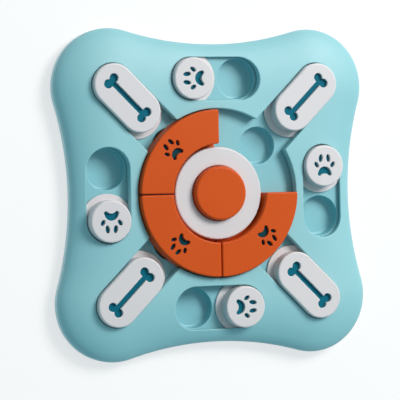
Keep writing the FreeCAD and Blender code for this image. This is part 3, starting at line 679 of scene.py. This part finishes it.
@dataclass
class Housing:
    """Top cover, food tray and bottom cover."""

    finishes: Finishes
    form: PlateForm = field(default_factory=PlateForm)
    recess: float = 64.1
    slot: float = 16.45
    bone_reach: float = 132.6
    corner: float = 1.7
    edge_round: float = 0.8
    lip: float = 15.3
    cover_wall: float = 2.0
    # Inset and rise of the rows round the cover's lower edge
    cover_edge: tuple[tuple[float, float], ...] = ((0.5, 0.0), (0.18, 0.1), (0.04, 0.3), (0.0, 0.6))
    # Spacing of the net of points on the top, and its gap to the outline's rows and to the openings
    net: float = 3.0
    net_gap: float = 2.0
    opening_gap: float = 1.8
    floor: float = 13.4
    tray_under: float = 11.8
    tray_inset: float = 6.8
    cup_floor: float = 5.0
    cup_under: float = 3.6
    cup_wall: float = 1.4
    cup_round: float = 0.5
    cup_foot: float = 2.0
    # X, Y and radius of each kind of cup in the first quarter
    edge_cup: tuple[float, float, float] = (SLOT_REACH, SLOT_LINE, 15.4)
    ring_cup: tuple[float, float, float] = (35.57, 35.57, 14.3)
    corner_cup: tuple[float, float, float] = (83.58, 83.58, 13.0)
    bellows_cup: float = 17.0
    underside: float = 1.5
    rim_round: float = 1.6
    base_top: float = 3.3
    base_side: float = 2.4
    parting_gap: float = 0.1
    # Inset and drop of the rows round the pan's upper edge
    base_edge: tuple[tuple[float, float], ...] = ((0.6, 0.0), (0.15, 0.12), (0.0, 0.5))
    # Radius and depth of the seats and wells, and distance out and rise of the rows round their edge
    foot_seat: tuple[float, float] = (7.1, 1.2)
    screw_well: tuple[float, float] = (3.05, 3.2)
    screw_place: tuple[float, float] = (67.2, 105.4)
    well_edge: tuple[tuple[float, float], ...] = ((SUPPORT, 0.0), (0.1, 0.02), (0.0, 0.15))

    def recess_loop(self) -> Points:
        """Round recess and the four bone slots that open into it, with small rounds where they meet.

        Returns:
            An anticlockwise loop.
        """
        big = self.recess + self.corner
        side = self.slot + self.corner
        reach = math.sqrt(big**2 - side**2)
        lean = math.degrees(math.asin(side / big))
        end = self.bone_reach - self.slot
        slot = np.concatenate([
            arc((reach, -side), self.corner, 180 - lean, 90, 7),
            straight((reach, -self.slot), (end, -self.slot), 26),
            arc((end, 0), self.slot, -90, 90, 36),
            straight((end, self.slot), (reach, self.slot), 26),
            arc((reach, side), self.corner, -90, -180 + lean, 7),
            arc((0, 0), self.recess, lean, 90 - lean, 32),
        ])
        return np.concatenate([turned_by(slot, math.pi / 4 + k * math.pi / 2) for k in range(4)])

    def slot_loops(self) -> list[Points]:
        """The four edge slots."""
        loop = stadium_loop(-SLOT_REACH, SLOT_REACH, self.slot, SLOT_LINE)
        return [turned_by(loop, quarter.radians) for quarter in Quarter]

    def _opening(self, draft: MeshDraft, loop: Points) -> Points:
        """Wall and rounded top edge of an opening, which blends from the wall's height into the form's.

        Args:
            draft: mesh that takes the band.
            loop: the opening's outline.

        Returns:
            The loop where the top surface begins.
        """
        rings = [ring_at(loop, self.lip)]
        top = self.form.height(loop)
        for inset, level in quarter_round(self.edge_round, 0.0):
            moved = offset(loop, inset)
            surface = self.form.height(moved)
            blend = inset / self.edge_round
            rings.append(ring_at(moved, level + surface * blend + np.minimum(top, surface) * (1 - blend)))
        support = offset(loop, self.edge_round + SUPPORT)
        rings.append(ring_at(support, self.form.height(support)))
        draft.band(rings)
        return support

    def top_cover(self) -> bpy.types.Object:
        """Closed shell: rolled-off top with rounded openings, side, and an inner roll up to the underside.

        The top between the rows is the height of the form on an even net of points.

        Returns:
            The shell.
        """
        draft = MeshDraft()
        outline = self.form.loop()
        openings = [self.recess_loop(), *self.slot_loops()]
        supports = [self._opening(draft, loop) for loop in openings]
        low = self.form.parting
        rows = [(self.cover_wall, low)] + [(inset, low + up) for inset, up in self.cover_edge]
        rows += self.form.roll_rows()
        draft.band([ring_at(offset(outline, -inset), level) for inset, level in rows])
        steep = offset(outline, -rows[-1][0])
        reach = self.form.width / 2 - 1
        grid = np.mgrid[-reach:reach + 1:self.net, -reach:reach + 1:self.net].reshape(2, -1).T
        grid = grid[inside(grid, steep) & clear_of(grid, steep, self.net_gap)]
        for support in supports:
            grid = grid[~inside(grid, support) & clear_of(grid, support, self.opening_gap)]
        draft.patch(steep, supports, self.form.height, grid)
        rise = self.form.top - self.cover_wall - self.form.roll_foot
        width = self.form.roll_width - self.cover_wall
        last = math.asin((self.lip - self.form.roll_foot) / rise)
        under = [(self.cover_wall, low)] + [
            (self.cover_wall + width * (1 - math.cos(a)), self.form.roll_foot + rise * math.sin(a))
            for a in np.linspace(0, last, 8)
        ]
        draft.band([ring_at(offset(outline, -inset), level) for inset, level in under])
        draft.patch(offset(outline, -under[-1][0]), openings, self.lip)
        return draft.finish("top_cover_shell")

    def cups(self) -> list[tuple[tuple[float, float], float]]:
        """Places of the cups.

        Returns:
            Centre and radius of the bellows' cup and of each food cup.
        """
        places = [((0.0, 0.0), self.bellows_cup)]
        for x, y, radius in (self.edge_cup, self.ring_cup, self.corner_cup):
            places += [(quarter.place(x, y), radius) for quarter in Quarter]
        return places

    def food_tray(self) -> bpy.types.Object:
        """Flat tray with sunk cups: each has a rounded rim, a straight wall and a rounded foot.

        Returns:
            The tray.
        """
        draft = MeshDraft()
        edge = offset(self.form.loop(), -self.tray_inset)
        tops = []
        unders = []
        for centre, radius in self.cups():
            loop = circle_loop(centre, radius, 72)
            rows = [(self.cup_round + SUPPORT, self.floor)] + quarter_round(self.cup_round, self.floor)[::-1]
            foot = self.cup_foot
            rows += [(-foot * (1 - math.cos(a)), self.cup_floor + foot * (1 - math.sin(a)))
                     for a in np.linspace(0, math.pi / 2, 6)]
            rows.append((-foot - SUPPORT, self.cup_floor))
            draft.band([ring_at(offset(loop, out), level) for out, level in rows])
            draft.patch(offset(loop, rows[-1][0]), level=self.cup_floor)
            tops.append(offset(loop, rows[0][0]))
            outside = offset(loop, self.cup_wall)
            draft.band([ring_at(outside, self.tray_under), ring_at(outside, self.cup_under)])
            draft.patch(outside, level=self.cup_under)
            unders.append(outside)
        draft.patch(edge, tops, self.floor)
        draft.band([ring_at(edge, self.floor), ring_at(edge, self.tray_under)])
        draft.patch(edge, unders, self.tray_under)
        return draft.finish("food_tray_moulding")

    def bottom_cover(self) -> bpy.types.Object:
        """Shallow pan: rounded rim, flat underside with seats for the feet and wells for the screws.

        Returns:
            The pan.
        """
        draft = MeshDraft()
        outline = self.form.loop()
        top = self.form.parting - self.parting_gap
        rows = [(self.base_side, self.base_top), (self.base_side, top)]
        rows += [(inset, top - drop) for inset, drop in self.base_edge]
        rim = quarter_round(self.rim_round, top)
        rows += [(inset, self.underside + (top - level)) for inset, level in rim]
        rows.append((self.rim_round + SUPPORT, self.underside))
        draft.band([ring_at(offset(outline, -inset), level) for inset, level in rows])
        holes = []
        near, far = self.screw_place
        wells = (
            (near, far, *self.screw_well), (far, near, *self.screw_well),
            (FOOT_LINE, FOOT_LINE, *self.foot_seat),
        )
        for x, y, radius, depth in wells:
            for quarter in Quarter:
                loop = circle_loop(quarter.place(x, y), radius, 40)
                well = [*self.well_edge, (0.0, depth)]
                draft.band([ring_at(offset(loop, out), self.underside + up) for out, up in well])
                draft.patch(loop, level=self.underside + depth)
                holes.append(offset(loop, SUPPORT))
        draft.patch(offset(outline, -rows[-1][0]), holes, self.underside)
        draft.patch(offset(outline, -self.base_side), level=self.base_top)
        return draft.finish("bottom_cover_pan")

    def build(self) -> None:
        """Make and place the three mouldings."""
        place_piece(self.top_cover(), self.finishes.plate, "shell", ["top_cover"])
        cups = [f"{kind}_cup_{side}" for kind, sides in CUP_SIDES.items() for side in sides]
        place_piece(
            self.food_tray(), self.finishes.tray, "shell", ["food_tray", "bellows_cup", *cups]
        )
        place_piece(self.bottom_cover(), self.finishes.base, "shell", ["bottom_cover"])


# Lids

# Toes of a paw: across and along from its middle, half width, half length, and lean in degrees
TOES = ((3.15, 5.8, 1.65, 3.05, 8), (6.7, 0.9, 1.55, 2.45, -33))
# Palm of a paw: every second point joins two arcs, and the point between lies on the arc
PALM = (
    (5.5, -5.2), (0, -0.6), (-5.5, -5.2), (-5.1, -7.5), (-3.1, -7.2), (0, -5.9), (3.1, -7.2), (5.1, -7.5),
)


@dataclass
class LidForm:
    """A moulded lid: rounded cap on a thin flange, hollow below, with cutouts through its top wall."""

    loop: Points
    cutouts: list[Points]
    flange: Callable[[Points, float], Points]
    top: float
    crown: float
    low: float = 13.6
    flange_top: float = 15.0
    wall: float = 2.4
    flange_round: float = 0.3
    cutout_round: float = 0.35
    cutout_support: float = 0.2
    liner_depth: float = 2.45
    liner_wall: float = 1.0
    liner_gap: float = 0.15

    def lid(self) -> MeshDraft:
        """Closed surface: core, underside, flange, side, crown and top, then each cutout's edge and wall.

        Returns:
            The draft of the lid.
        """
        draft = MeshDraft()
        core = offset(self.loop, -self.wall)
        ceiling = self.top - self.wall
        soft = self.flange_round
        rings = [ring_at(core, ceiling), ring_at(core, self.low)]
        for inset, level in (
            (soft, self.low), (0.0, self.low + soft), (0.0, self.flange_top - soft), (soft, self.flange_top),
        ):
            rings.append(ring_at(self.flange(self.loop, inset), level))
        rim = [(0.0, self.flange_top), *quarter_round(self.crown, self.top, 7)]
        rings += [ring_at(offset(self.loop, -inset), level) for inset, level in rim]
        rings.append(ring_at(offset(self.loop, -self.crown - SUPPORT), self.top))
        draft.band(rings)
        tops = []
        for cutout in self.cutouts:
            edge = quarter_round(self.cutout_round, self.top, 4)
            rows = [ring_at(cutout, ceiling)]
            rows += [ring_at(offset(cutout, inset), level) for inset, level in edge]
            support = offset(cutout, self.cutout_round + self.cutout_support)
            rows.append(ring_at(support, self.top))
            draft.band(rows)
            tops.append(support)
        draft.patch(rings[-1][:, :2], tops, self.top)
        draft.patch(core, self.cutouts, ceiling)
        return draft

    def liner(self) -> MeshDraft:
        """Flat plate that closes the core below the cutouts.

        Returns:
            The draft of the plate.
        """
        draft = MeshDraft()
        edge = offset(self.loop, -self.wall - self.liner_gap)
        levels = (self.top - self.liner_depth, self.top - self.liner_depth - self.liner_wall)
        draft.band([ring_at(edge, level) for level in levels])
        for level in levels:
            draft.patch(edge, level=level)
        return draft


@dataclass(frozen=True)
class LidDress:
    """Finishes and slot of a kind of lid, and how its liner is named."""

    finish: bpy.types.Material
    slot: str
    liner_finish: bpy.types.Material
    kind: str
    liner_kind: str

    def place(
        self, form: LidForm, spot: str, turn: float, shift: tuple[float, float] = (0.0, 0.0)
    ) -> None:
        """Make a lid and its liner and tie both to the lid's body.

        Args:
            form: shape of the lid before the move.
            spot: last part of the node's name.
            turn: angle in radians about the plate's axis.
            shift: move along X and Y after the turn.
        """
        node = f"{self.kind}_{spot}"
        liner = f"{self.liner_kind}_{spot}"
        piece = form.lid().finish(f"{node}_lid", turn, shift)
        place_piece(piece, self.finish, node, [node])
        piece = form.liner().finish(f"{liner}_plate", turn, shift)
        place_piece(piece, self.liner_finish, node, [liner])


def paw_loops(scale: float, turn: float, centre: tuple[float, float] = (0.0, 0.0)) -> list[Points]:
    """Four oval toes and a palm of four arcs; the toes point along +Y before the turn.

    Args:
        scale: 1 for a paw about 16 mm across.
        turn: turn in degrees.
        centre: place of the paw's middle.

    Returns:
        One loop for each toe and one for the palm.
    """
    loops = []
    angles = np.linspace(0, 2 * math.pi, 28, endpoint=False)
    for side in (-1, 1):
        for across, along, wide, long, lean in TOES:
            oval = np.column_stack([wide * np.cos(angles), long * np.sin(angles)])
            loops.append(turned_by(oval, math.radians(side * lean)) + (side * across, along))
    closed = PALM + PALM[:1]
    loops.append(np.concatenate([bow(*closed[i:i + 3], 10) for i in range(0, len(PALM), 2)]))
    return [turned_by(loop * scale, math.radians(turn)) + centre for loop in loops]


def bow(
    start: tuple[float, float], middle: tuple[float, float], end: tuple[float, float], count: int
) -> Points:
    """Points on the circle through three points, whose centre is as far from each of them.

    Args:
        start: first point.
        middle: point that the arc passes.
        end: last point, which is left out.
        count: number of points.

    Returns:
        An array of count points.
    """
    (ax, ay), (bx, by), (cx, cy) = start, middle, end
    twice = 2 * (ax * (by - cy) + bx * (cy - ay) + cx * (ay - by))
    a, b, c = ax**2 + ay**2, bx**2 + by**2, cx**2 + cy**2
    ux = (a * (by - cy) + b * (cy - ay) + c * (ay - by)) / twice
    uy = (a * (cx - bx) + b * (ax - cx) + c * (bx - ax)) / twice
    first, half, last = (math.degrees(math.atan2(y - uy, x - ux)) for x, y in (start, middle, end))
    if (half - first) % 360 <= (last - first) % 360:
        last = first + (last - first) % 360
    else:
        last = first - (first - last) % 360
    return arc((ux, uy), math.hypot(ax - ux, ay - uy), first, last, count)


def bone_loop(
    middle: float, span: float, knob: float, spread: float, shaft: float, notch: float = 58.0
) -> Points:
    """Bone along X: two knobs at each end, their notch filled a little, joined by a straight shaft.

    Args:
        middle: X of the bone's middle.
        span: distance between the knobs of both ends.
        knob: radius of a knob.
        spread: distance between the two knobs of an end.
        shaft: width of the shaft.
        notch: angle in degrees past the bone's line at which the knobs of an end meet.

    Returns:
        An anticlockwise loop.
    """
    side = spread / 2
    drop = side - shaft / 2
    bite = math.degrees(math.asin(drop / knob))
    end = np.concatenate([
        arc((span / 2, -side), knob, 180 - bite, 270, 10),
        arc((span / 2, -side), knob, 270, 360 + notch, 16),
        arc((span / 2, side), knob, -notch, 90, 16),
        arc((span / 2, side), knob, 90, 180 + bite, 10),
        straight((span / 2 - knob * math.cos(math.radians(bite)), shaft / 2),
                 (-span / 2 + knob * math.cos(math.radians(bite)), shaft / 2), 14),
    ])
    return np.concatenate([end, turned_by(end, math.pi)]) + (middle, 0)


def sector_loop(outer: float, inner: float, side: float, corner: float) -> Points:
    """Quarter of a ring between +X and +Y with straight ends and rounded corners.

    Args:
        outer: outer radius.
        inner: inner radius.
        side: distance of each straight end from its axis.
        corner: radius of the corners.

    Returns:
        An anticlockwise loop.
    """
    line = side + corner
    far = math.sqrt((outer - corner) ** 2 - line**2)
    near = math.sqrt((inner + corner) ** 2 - line**2)
    far_angle = math.degrees(math.atan2(line, far))
    near_angle = math.degrees(math.atan2(line, near))
    return np.concatenate([
        arc((far, line), corner, -90, far_angle, 7),
        arc((0, 0), outer, far_angle, 90 - far_angle, 56),
        arc((line, far), corner, 90 - far_angle, 180, 7),
        straight((side, far), (side, near), 12),
        arc((line, near), corner, 180, 270 - near_angle, 7),
        arc((0, 0), inner, 90 - near_angle, near_angle, 40),
        arc((near, line), corner, 180 + near_angle, 270, 7),
        straight((near, side), (far, side), 12),
    ])


@dataclass
class Sliders:
    """Bone and paw lids on round-ended flanges, each with a teal liner under its cutouts, darkened to paint
    the shade inside them.
    """

    finishes: Finishes
    radius: float = 15.8
    margin: float = 4.7
    top: float = 25.9
    crown: float = 1.2
    bone_middle: float = 102.05
    bone_half: float = 14.2
    bone_span: float = 35.8
    bone_knob: float = 3.4
    bone_spread: float = 6.2
    bone_shaft: float = 4.2
    bone_angles: tuple[float, ...] = (45, -45, -135, 135)
    paw_shift: float = 19.1
    paw_turn: float = 90.0
    flange_half: float = 18.25

    def round_flange(self, loop: Points, inset: float) -> Points:
        """Flange of even width round the lid."""
        return offset(loop, self.margin - inset)

    def straight_flange(self, loop: Points, inset: float) -> Points:
        """Flange round the lid that is cut straight along both long sides of the slot.

        Args:
            loop: outline of the lid.
            inset: distance that the flange stands back.

        Returns:
            A loop of as many points.
        """
        wide = self.round_flange(loop, inset)
        wide[:, 1] = np.clip(wide[:, 1], inset - self.flange_half, self.flange_half - inset)
        return wide

    def bones(self) -> None:
        """Four bone lids on the diagonals."""
        white, liner = self.finishes.white, self.finishes.liner
        dress = LidDress(white, "slider_white", liner, "bone_slider", "bone_liner")
        start, end = self.bone_middle - self.bone_half, self.bone_middle + self.bone_half
        bone = bone_loop(
            self.bone_middle, self.bone_span, self.bone_knob, self.bone_spread, self.bone_shaft
        )
        form = LidForm(
            stadium_loop(start, end, self.radius), [bone], self.round_flange, self.top, self.crown
        )
        for corner, angle in zip(CORNERS, self.bone_angles):
            dress.place(form, corner, math.radians(angle))

    def paws(self) -> None:
        """Four paw lids, each at one end of its edge slot."""
        white, liner = self.finishes.white, self.finishes.liner
        dress = LidDress(white, "slider_white", liner, "paw_slider", "paw_liner")
        form = LidForm(
            circle_loop((0, 0), self.radius, 80), paw_loops(1.0, self.paw_turn), self.straight_flange,
            self.top, self.crown,
        )
        for side, quarter in zip(SIDES, Quarter):
            dress.place(form, side, quarter.radians, quarter.place(-self.paw_shift, SLOT_LINE))

    def build(self) -> None:
        """Make the eight sliders."""
        self.bones()
        self.paws()


@dataclass
class TurningRing:
    """Three quarter-ring lids with paw cutouts."""

    finishes: Finishes
    outer: float = 63.3
    inner: float = 37.3
    side: float = 0.4
    corner: float = 1.6
    tongue_outer: float = 63.3
    tongue_inner: float = 33.6
    top: float = 27.0
    crown: float = 1.1
    paw_scale: float = 0.9
    paw_reach: float = 50.3
    paw_angle: float = 48.3
    paw_turn: float = -45.0

    def tongue(self, loop: Points, inset: float) -> Points:
        """Outline stretched radially from both arcs to the tongues' radii.

        Args:
            loop: outline of a segment in the first quarter.
            inset: distance that the tongues stand back.

        Returns:
            A loop of as many points.
        """
        radius = np.linalg.norm(loop, axis=1)
        share = (radius - self.inner) / (self.outer - self.inner)
        wanted = (self.tongue_inner + inset) * (1 - share) + (self.tongue_outer - inset) * share
        return np.maximum(loop * (wanted / radius)[:, None], self.side)

    def build(self) -> None:
        """Make the three segments."""
        angle = math.radians(self.paw_angle)
        centre = (self.paw_reach * math.cos(angle), self.paw_reach * math.sin(angle))
        form = LidForm(
            sector_loop(self.outer, self.inner, self.side, self.corner),
            paw_loops(self.paw_scale, self.paw_turn, centre), self.tongue, self.top, self.crown,
        )
        # The ring liner's dark teal is painted shade for the inside of the paw cutouts
        dress = LidDress(
            self.finishes.orange, "ring_orange", self.finishes.ring_liner, "ring_segment", "ring_liner"
        )
        for turns, corner in enumerate(("upper_left", "lower_left", "lower_right"), start=1):
            dress.place(form, corner, turns * math.pi / 2)


# Hub, squeaker and feet

@dataclass
class Hub:
    """White hub ring, orange button, bellows and reed, feet and screws."""

    finishes: Finishes
    nodes: dict[str, bpy.types.Object]
    tray: float = 13.4
    ring_radius: float = 35.0
    ring_hole: float = 20.8
    ring_top: float = 22.0
    ring_round: float = 1.3
    # Post and outer skirt of the ring: bore and outside of the post, inside and foot of the skirt, ceiling
    post_bore: float = 27.5
    post_radius: float = 30.5
    skirt_inside: float = 32.8
    skirt_foot: float = 15.3
    ceiling: float = 19.8
    button_radius: float = 20.4
    button_top: float = 27.9
    button_round: float = 1.8
    # Distance out from the button's side and level, from its ceiling down the inside and round its flange
    button_skirt: tuple[tuple[float, float], ...] = (
        (-2.2, 25.7), (-2.2, 17.9), (2.8, 17.9), (3.0, 18.1), (3.0, 19.3), (2.8, 19.5), (0.0, 19.5),
    )
    press: float = 3.5
    bellows_low: float = 5.0
    bellows_high: float = 25.7
    bellows_wall: float = 1.2
    bellows_hole: float = 4.6
    bellows_end: float = 11.0
    folds: int = 4
    fold_radius: float = 12.5
    fold_swing: float = 1.5
    # Radius and level of the reed plug, once round
    reed_profile: tuple[tuple[float, float], ...] = (
        (1.5, 5.0), (4.4, 5.0), (4.5, 5.1), (4.5, 6.3), (6.0, 6.3), (6.0, 7.8), (4.5, 7.8), (4.5, 10.7),
        (4.2, 11.0), (1.5, 11.0), (1.5, 5.0),
    )
    foot_radius: float = 7.0
    foot_height: float = 2.7
    foot_round: float = 0.5

    def ring(self) -> None:
        """Turned hub ring: outer skirt, rounded top, and a post down to the tray."""
        crown = quarter_round(self.ring_round, self.ring_top, 7)
        flat = self.ring_round + SUPPORT
        profile = [(self.post_bore, self.tray), (self.post_radius, self.tray)]
        profile += [(self.post_radius, self.ceiling), (self.skirt_inside, self.ceiling)]
        profile += [(self.skirt_inside, self.skirt_foot), (self.ring_radius, self.skirt_foot)]
        profile += [(self.ring_radius - inset, level) for inset, level in crown]
        profile += [(self.ring_radius - flat, self.ring_top), (self.ring_hole + flat, self.ring_top)]
        profile += [(self.ring_hole + inset, level) for inset, level in reversed(crown)]
        profile += [(self.ring_hole, self.ceiling), (self.post_bore, self.ceiling)]
        profile.append((self.post_bore, self.tray))
        piece = turned_draft(profile, 128).finish("hub_ring_turned")
        place_piece(piece, self.finishes.white, "shell", ["hub_ring"])

    def button(self) -> None:
        """Turned button: hollow cap with a rounded top and a retaining flange."""
        crown = quarter_round(self.button_round, self.button_top, 8)
        profile = [(self.button_radius + out, level) for out, level in self.button_skirt]
        profile += [(self.button_radius - inset, level) for inset, level in crown]
        profile.append((self.button_radius - self.button_round - SUPPORT, self.button_top))
        piece = turned_draft(profile, 112).finish("squeaker_button_cap")
        place_piece(piece, self.finishes.orange, "squeaker_button", ["squeaker_button"])

    def bellows(self) -> None:
        """Bellows: its radius swings as a cosine of height over its folds, outside and inside."""
        low, high, wall = self.bellows_low, self.bellows_high, self.bellows_wall
        levels = np.linspace(low + wall, high - wall, self.folds * 8 + 1)
        phase = 2 * math.pi * self.folds * (levels - levels[0]) / (levels[-1] - levels[0])
        swing = self.fold_radius - self.fold_swing * np.cos(phase)
        profile = [(self.bellows_hole, low + wall), (self.bellows_hole, low), (self.bellows_end, low)]
        profile += list(zip(swing.tolist(), levels.tolist()))
        profile.append((self.bellows_end, high))
        draft = MeshDraft()
        rings = [ring_at(circle_loop((0, 0), r, 72), z) for r, z in profile]
        inner = [ring_at(circle_loop((0, 0), r - wall, 72), z) for r, z in zip(swing, levels)]
        draft.band(rings)
        draft.band([rings[0], *inner])
        draft.patch(rings[-1][:, :2], level=high)
        draft.patch(inner[-1][:, :2], level=high - wall)
        piece = draft.finish("squeaker_bellows_folds")
        place_piece(piece, self.finishes.bellows, "shell", ["squeaker_bellows"])
        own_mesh(piece)

    def reed(self) -> None:
        """Turned reed plug with a flange inside the bellows' foot."""
        piece = turned_draft(self.reed_profile, 56).finish("squeaker_reed_plug")
        place_piece(piece, self.finishes.white, "shell", ["squeaker_reed"])

    def feet(self) -> None:
        """Four soft pads: rounded at the floor and seated in the bottom cover."""
        edge = quarter_round(self.foot_round, self.foot_height)
        profile = [(self.foot_radius, self.foot_height)]
        profile += [(self.foot_radius - inset, self.foot_height - level) for inset, level in edge]
        profile.append((self.foot_radius - self.foot_round - SUPPORT, 0.0))
        for quarter, name in zip(Quarter, ("rear_right", "front_right", "front_left", "rear_left")):
            place = quarter.place(FOOT_LINE, FOOT_LINE)
            piece = turned_draft(profile, 56).finish(f"foot_pad_{name}_soft", shift=place)
            place_piece(piece, self.finishes.foot, "shell", [f"foot_pad_{name}"])

    def screws(self) -> None:
        """Plated finish for the modelled screws."""
        for name in ("cover_screws", "hub_screws"):
            screws = self.nodes[name]
            screws.data.materials.clear()
            screws.data.materials.append(self.finishes.steel)
            LOG.info("dressed %s", name)

    def build(self) -> None:
        """Make the pieces of the hub and the feet."""
        self.ring()
        self.button()
        self.bellows()
        self.reed()
        self.feet()
        self.screws()


# Studio

@dataclass
class Studio:
    """Pale floor, soft light from the upper right, and a long lens left of the plate's axis."""

    floor_tones: tuple[str, str] = ("#F4F5F5", "#FAFAFA")
    floor_half: float = 3000.0
    floor_patch_mm: float = 500.0
    floor_roughness: float = 0.6
    white: float = 1.0
    shadow_share: float = 0.35
    aim_mm: tuple[float, float, float] = (-15.093, -4.858, 22.0)
    distance_mm: float = 1491.7
    turns: tuple[float, float, float] = (-20.917, -0.926, -1.117)
    focal_px: float = 1979.8
    bright_side: tuple[float, float, float] = (0.5, 0.75, 0.6)
    dark_sky: float = 0.58
    bright_sky: float = 0.48
    # Cosines to the bright side at which the sky's level starts to change and its colour is bright
    dark_from: float = -0.5
    bright_from: float = 0.7
    dark_colour: str = "#7FC8DA"
    bright_colour: str = "#FFFCFA"
    key_place: tuple[float, float, float] = (0.85, 0.77, 1.23)
    key_power: float = 24.5
    key_size: float = 0.67
    sensor: float = 36.0
    far_clip: float = 50.0

    def floor(self) -> None:
        """Wide floor under the feet: mostly white to the camera and in reflections, with some shadow."""
        corners = np.array([(-1, -1), (1, -1), (1, 1), (-1, 1)]) * self.floor_half
        mesh = bpy.data.meshes.new("studio_floor")
        mesh.from_pydata((ring_at(corners, 0.0) * MILLIMETRE).tolist(), [], [(0, 1, 2, 3)])
        floor = bpy.data.objects.new("studio_floor", mesh)
        bpy.context.scene.collection.objects.link(floor)
        draft = FinishDraft("pale_studio_floor")
        draft.mottle(self.floor_patch_mm, self.floor_tones, Detail=1.0)
        draft.shader.inputs["Roughness"].default_value = self.floor_roughness
        tree = draft.tree
        path = add_node(tree, "ShaderNodeLightPath")
        mirrored = add_node(
            tree, "ShaderNodeMath", {"operation": "MAXIMUM"},
            {0: path.outputs["Is Glossy Ray"], 1: path.outputs["Is Transmission Ray"]},
        )
        seen = add_node(
            tree, "ShaderNodeMath", {"operation": "MAXIMUM"},
            {0: path.outputs["Is Camera Ray"], 1: mirrored.outputs[0]},
        )
        share = add_node(
            tree, "ShaderNodeMath", {"operation": "MULTIPLY", 1: 1 - self.shadow_share}, {0: seen.outputs[0]}
        )
        glow = add_node(tree, "ShaderNodeEmission", {"Color": (1.0, 1.0, 1.0, 1.0), "Strength": self.white})
        mixed = add_node(
            tree, "ShaderNodeMixShader",
            links={0: share.outputs[0], 1: draft.shader.outputs["BSDF"], 2: glow.outputs["Emission"]},
        )
        tree.links.new(mixed.outputs["Shader"], tree.nodes["Material Output"].inputs["Surface"])
        mesh.materials.append(draft.material)

    def lights(self) -> None:
        """Sky that turns from teal at the lower left to white at the upper right, and a key from there."""
        world = bpy.data.worlds.new("studio_sky")
        bpy.context.scene.world = world
        world.use_nodes = True
        tree = world.node_tree
        background = tree.nodes["Background"]
        ray = add_node(tree, "ShaderNodeTexCoord").outputs["Generated"]
        facing = add_node(
            tree, "ShaderNodeVectorMath",
            {"operation": "DOT_PRODUCT", 1: Vector(self.bright_side).normalized()}, {0: ray},
        )
        level = add_node(
            tree, "ShaderNodeMapRange",
            {"From Min": self.dark_from, "To Min": self.dark_sky, "To Max": self.bright_sky},
            {"Value": facing.outputs["Value"]},
        )
        hue = add_node(tree, "ShaderNodeValToRGB", links={"Fac": facing.outputs["Value"]})
        hue.color_ramp.elements[0].color = linear(self.dark_colour)
        hue.color_ramp.elements[1].color = linear(self.bright_colour)
        hue.color_ramp.elements[1].position = self.bright_from
        tree.links.new(level.outputs["Result"], background.inputs["Strength"])
        tree.links.new(hue.outputs["Color"], background.inputs["Color"])
        lamp = bpy.data.lights.new("key", "AREA")
        lamp.energy = self.key_power
        lamp.size = self.key_size
        key = bpy.data.objects.new("key", lamp)
        bpy.context.scene.collection.objects.link(key)
        key.location = self.key_place
        key.rotation_euler = (-Vector(self.key_place)).to_track_quat("-Z", "Y").to_euler()

    def camera(self) -> None:
        """Camera whose turns about Y, X and Z come in that order from looking straight down."""
        lens = bpy.data.cameras.new("camera")
        lens.sensor_width = self.sensor
        lens.lens = self.focal_px / PHOTO_SIDE * self.sensor
        lens.clip_end = self.far_clip
        camera = bpy.data.objects.new("camera", lens)
        bpy.context.scene.collection.objects.link(camera)
        yaw, pitch, roll = (math.radians(turn) for turn in self.turns)
        turn = Matrix.Rotation(yaw, 3, "Y") @ Matrix.Rotation(pitch, 3, "X") @ Matrix.Rotation(roll, 3, "Z")
        place = (Vector(self.aim_mm) + turn @ Vector((0, 0, self.distance_mm))) * MILLIMETRE
        camera.matrix_world = Matrix.Translation(place) @ turn.to_4x4()
        bpy.context.scene.camera = camera

    def build(self) -> None:
        """Set the stage."""
        self.camera()
        self.floor()
        self.lights()
        bpy.context.scene.view_settings.view_transform = "Standard"


def main() -> None:
    """Load the frame and build the toy round it."""
    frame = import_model()
    Studio().build()
    finishes = Finishes()
    Housing(finishes).build()
    TurningRing(finishes).build()
    Sliders(finishes).build()
    Hub(finishes, frame["nodes"]).build()


if __name__ == "__main__":
    main()
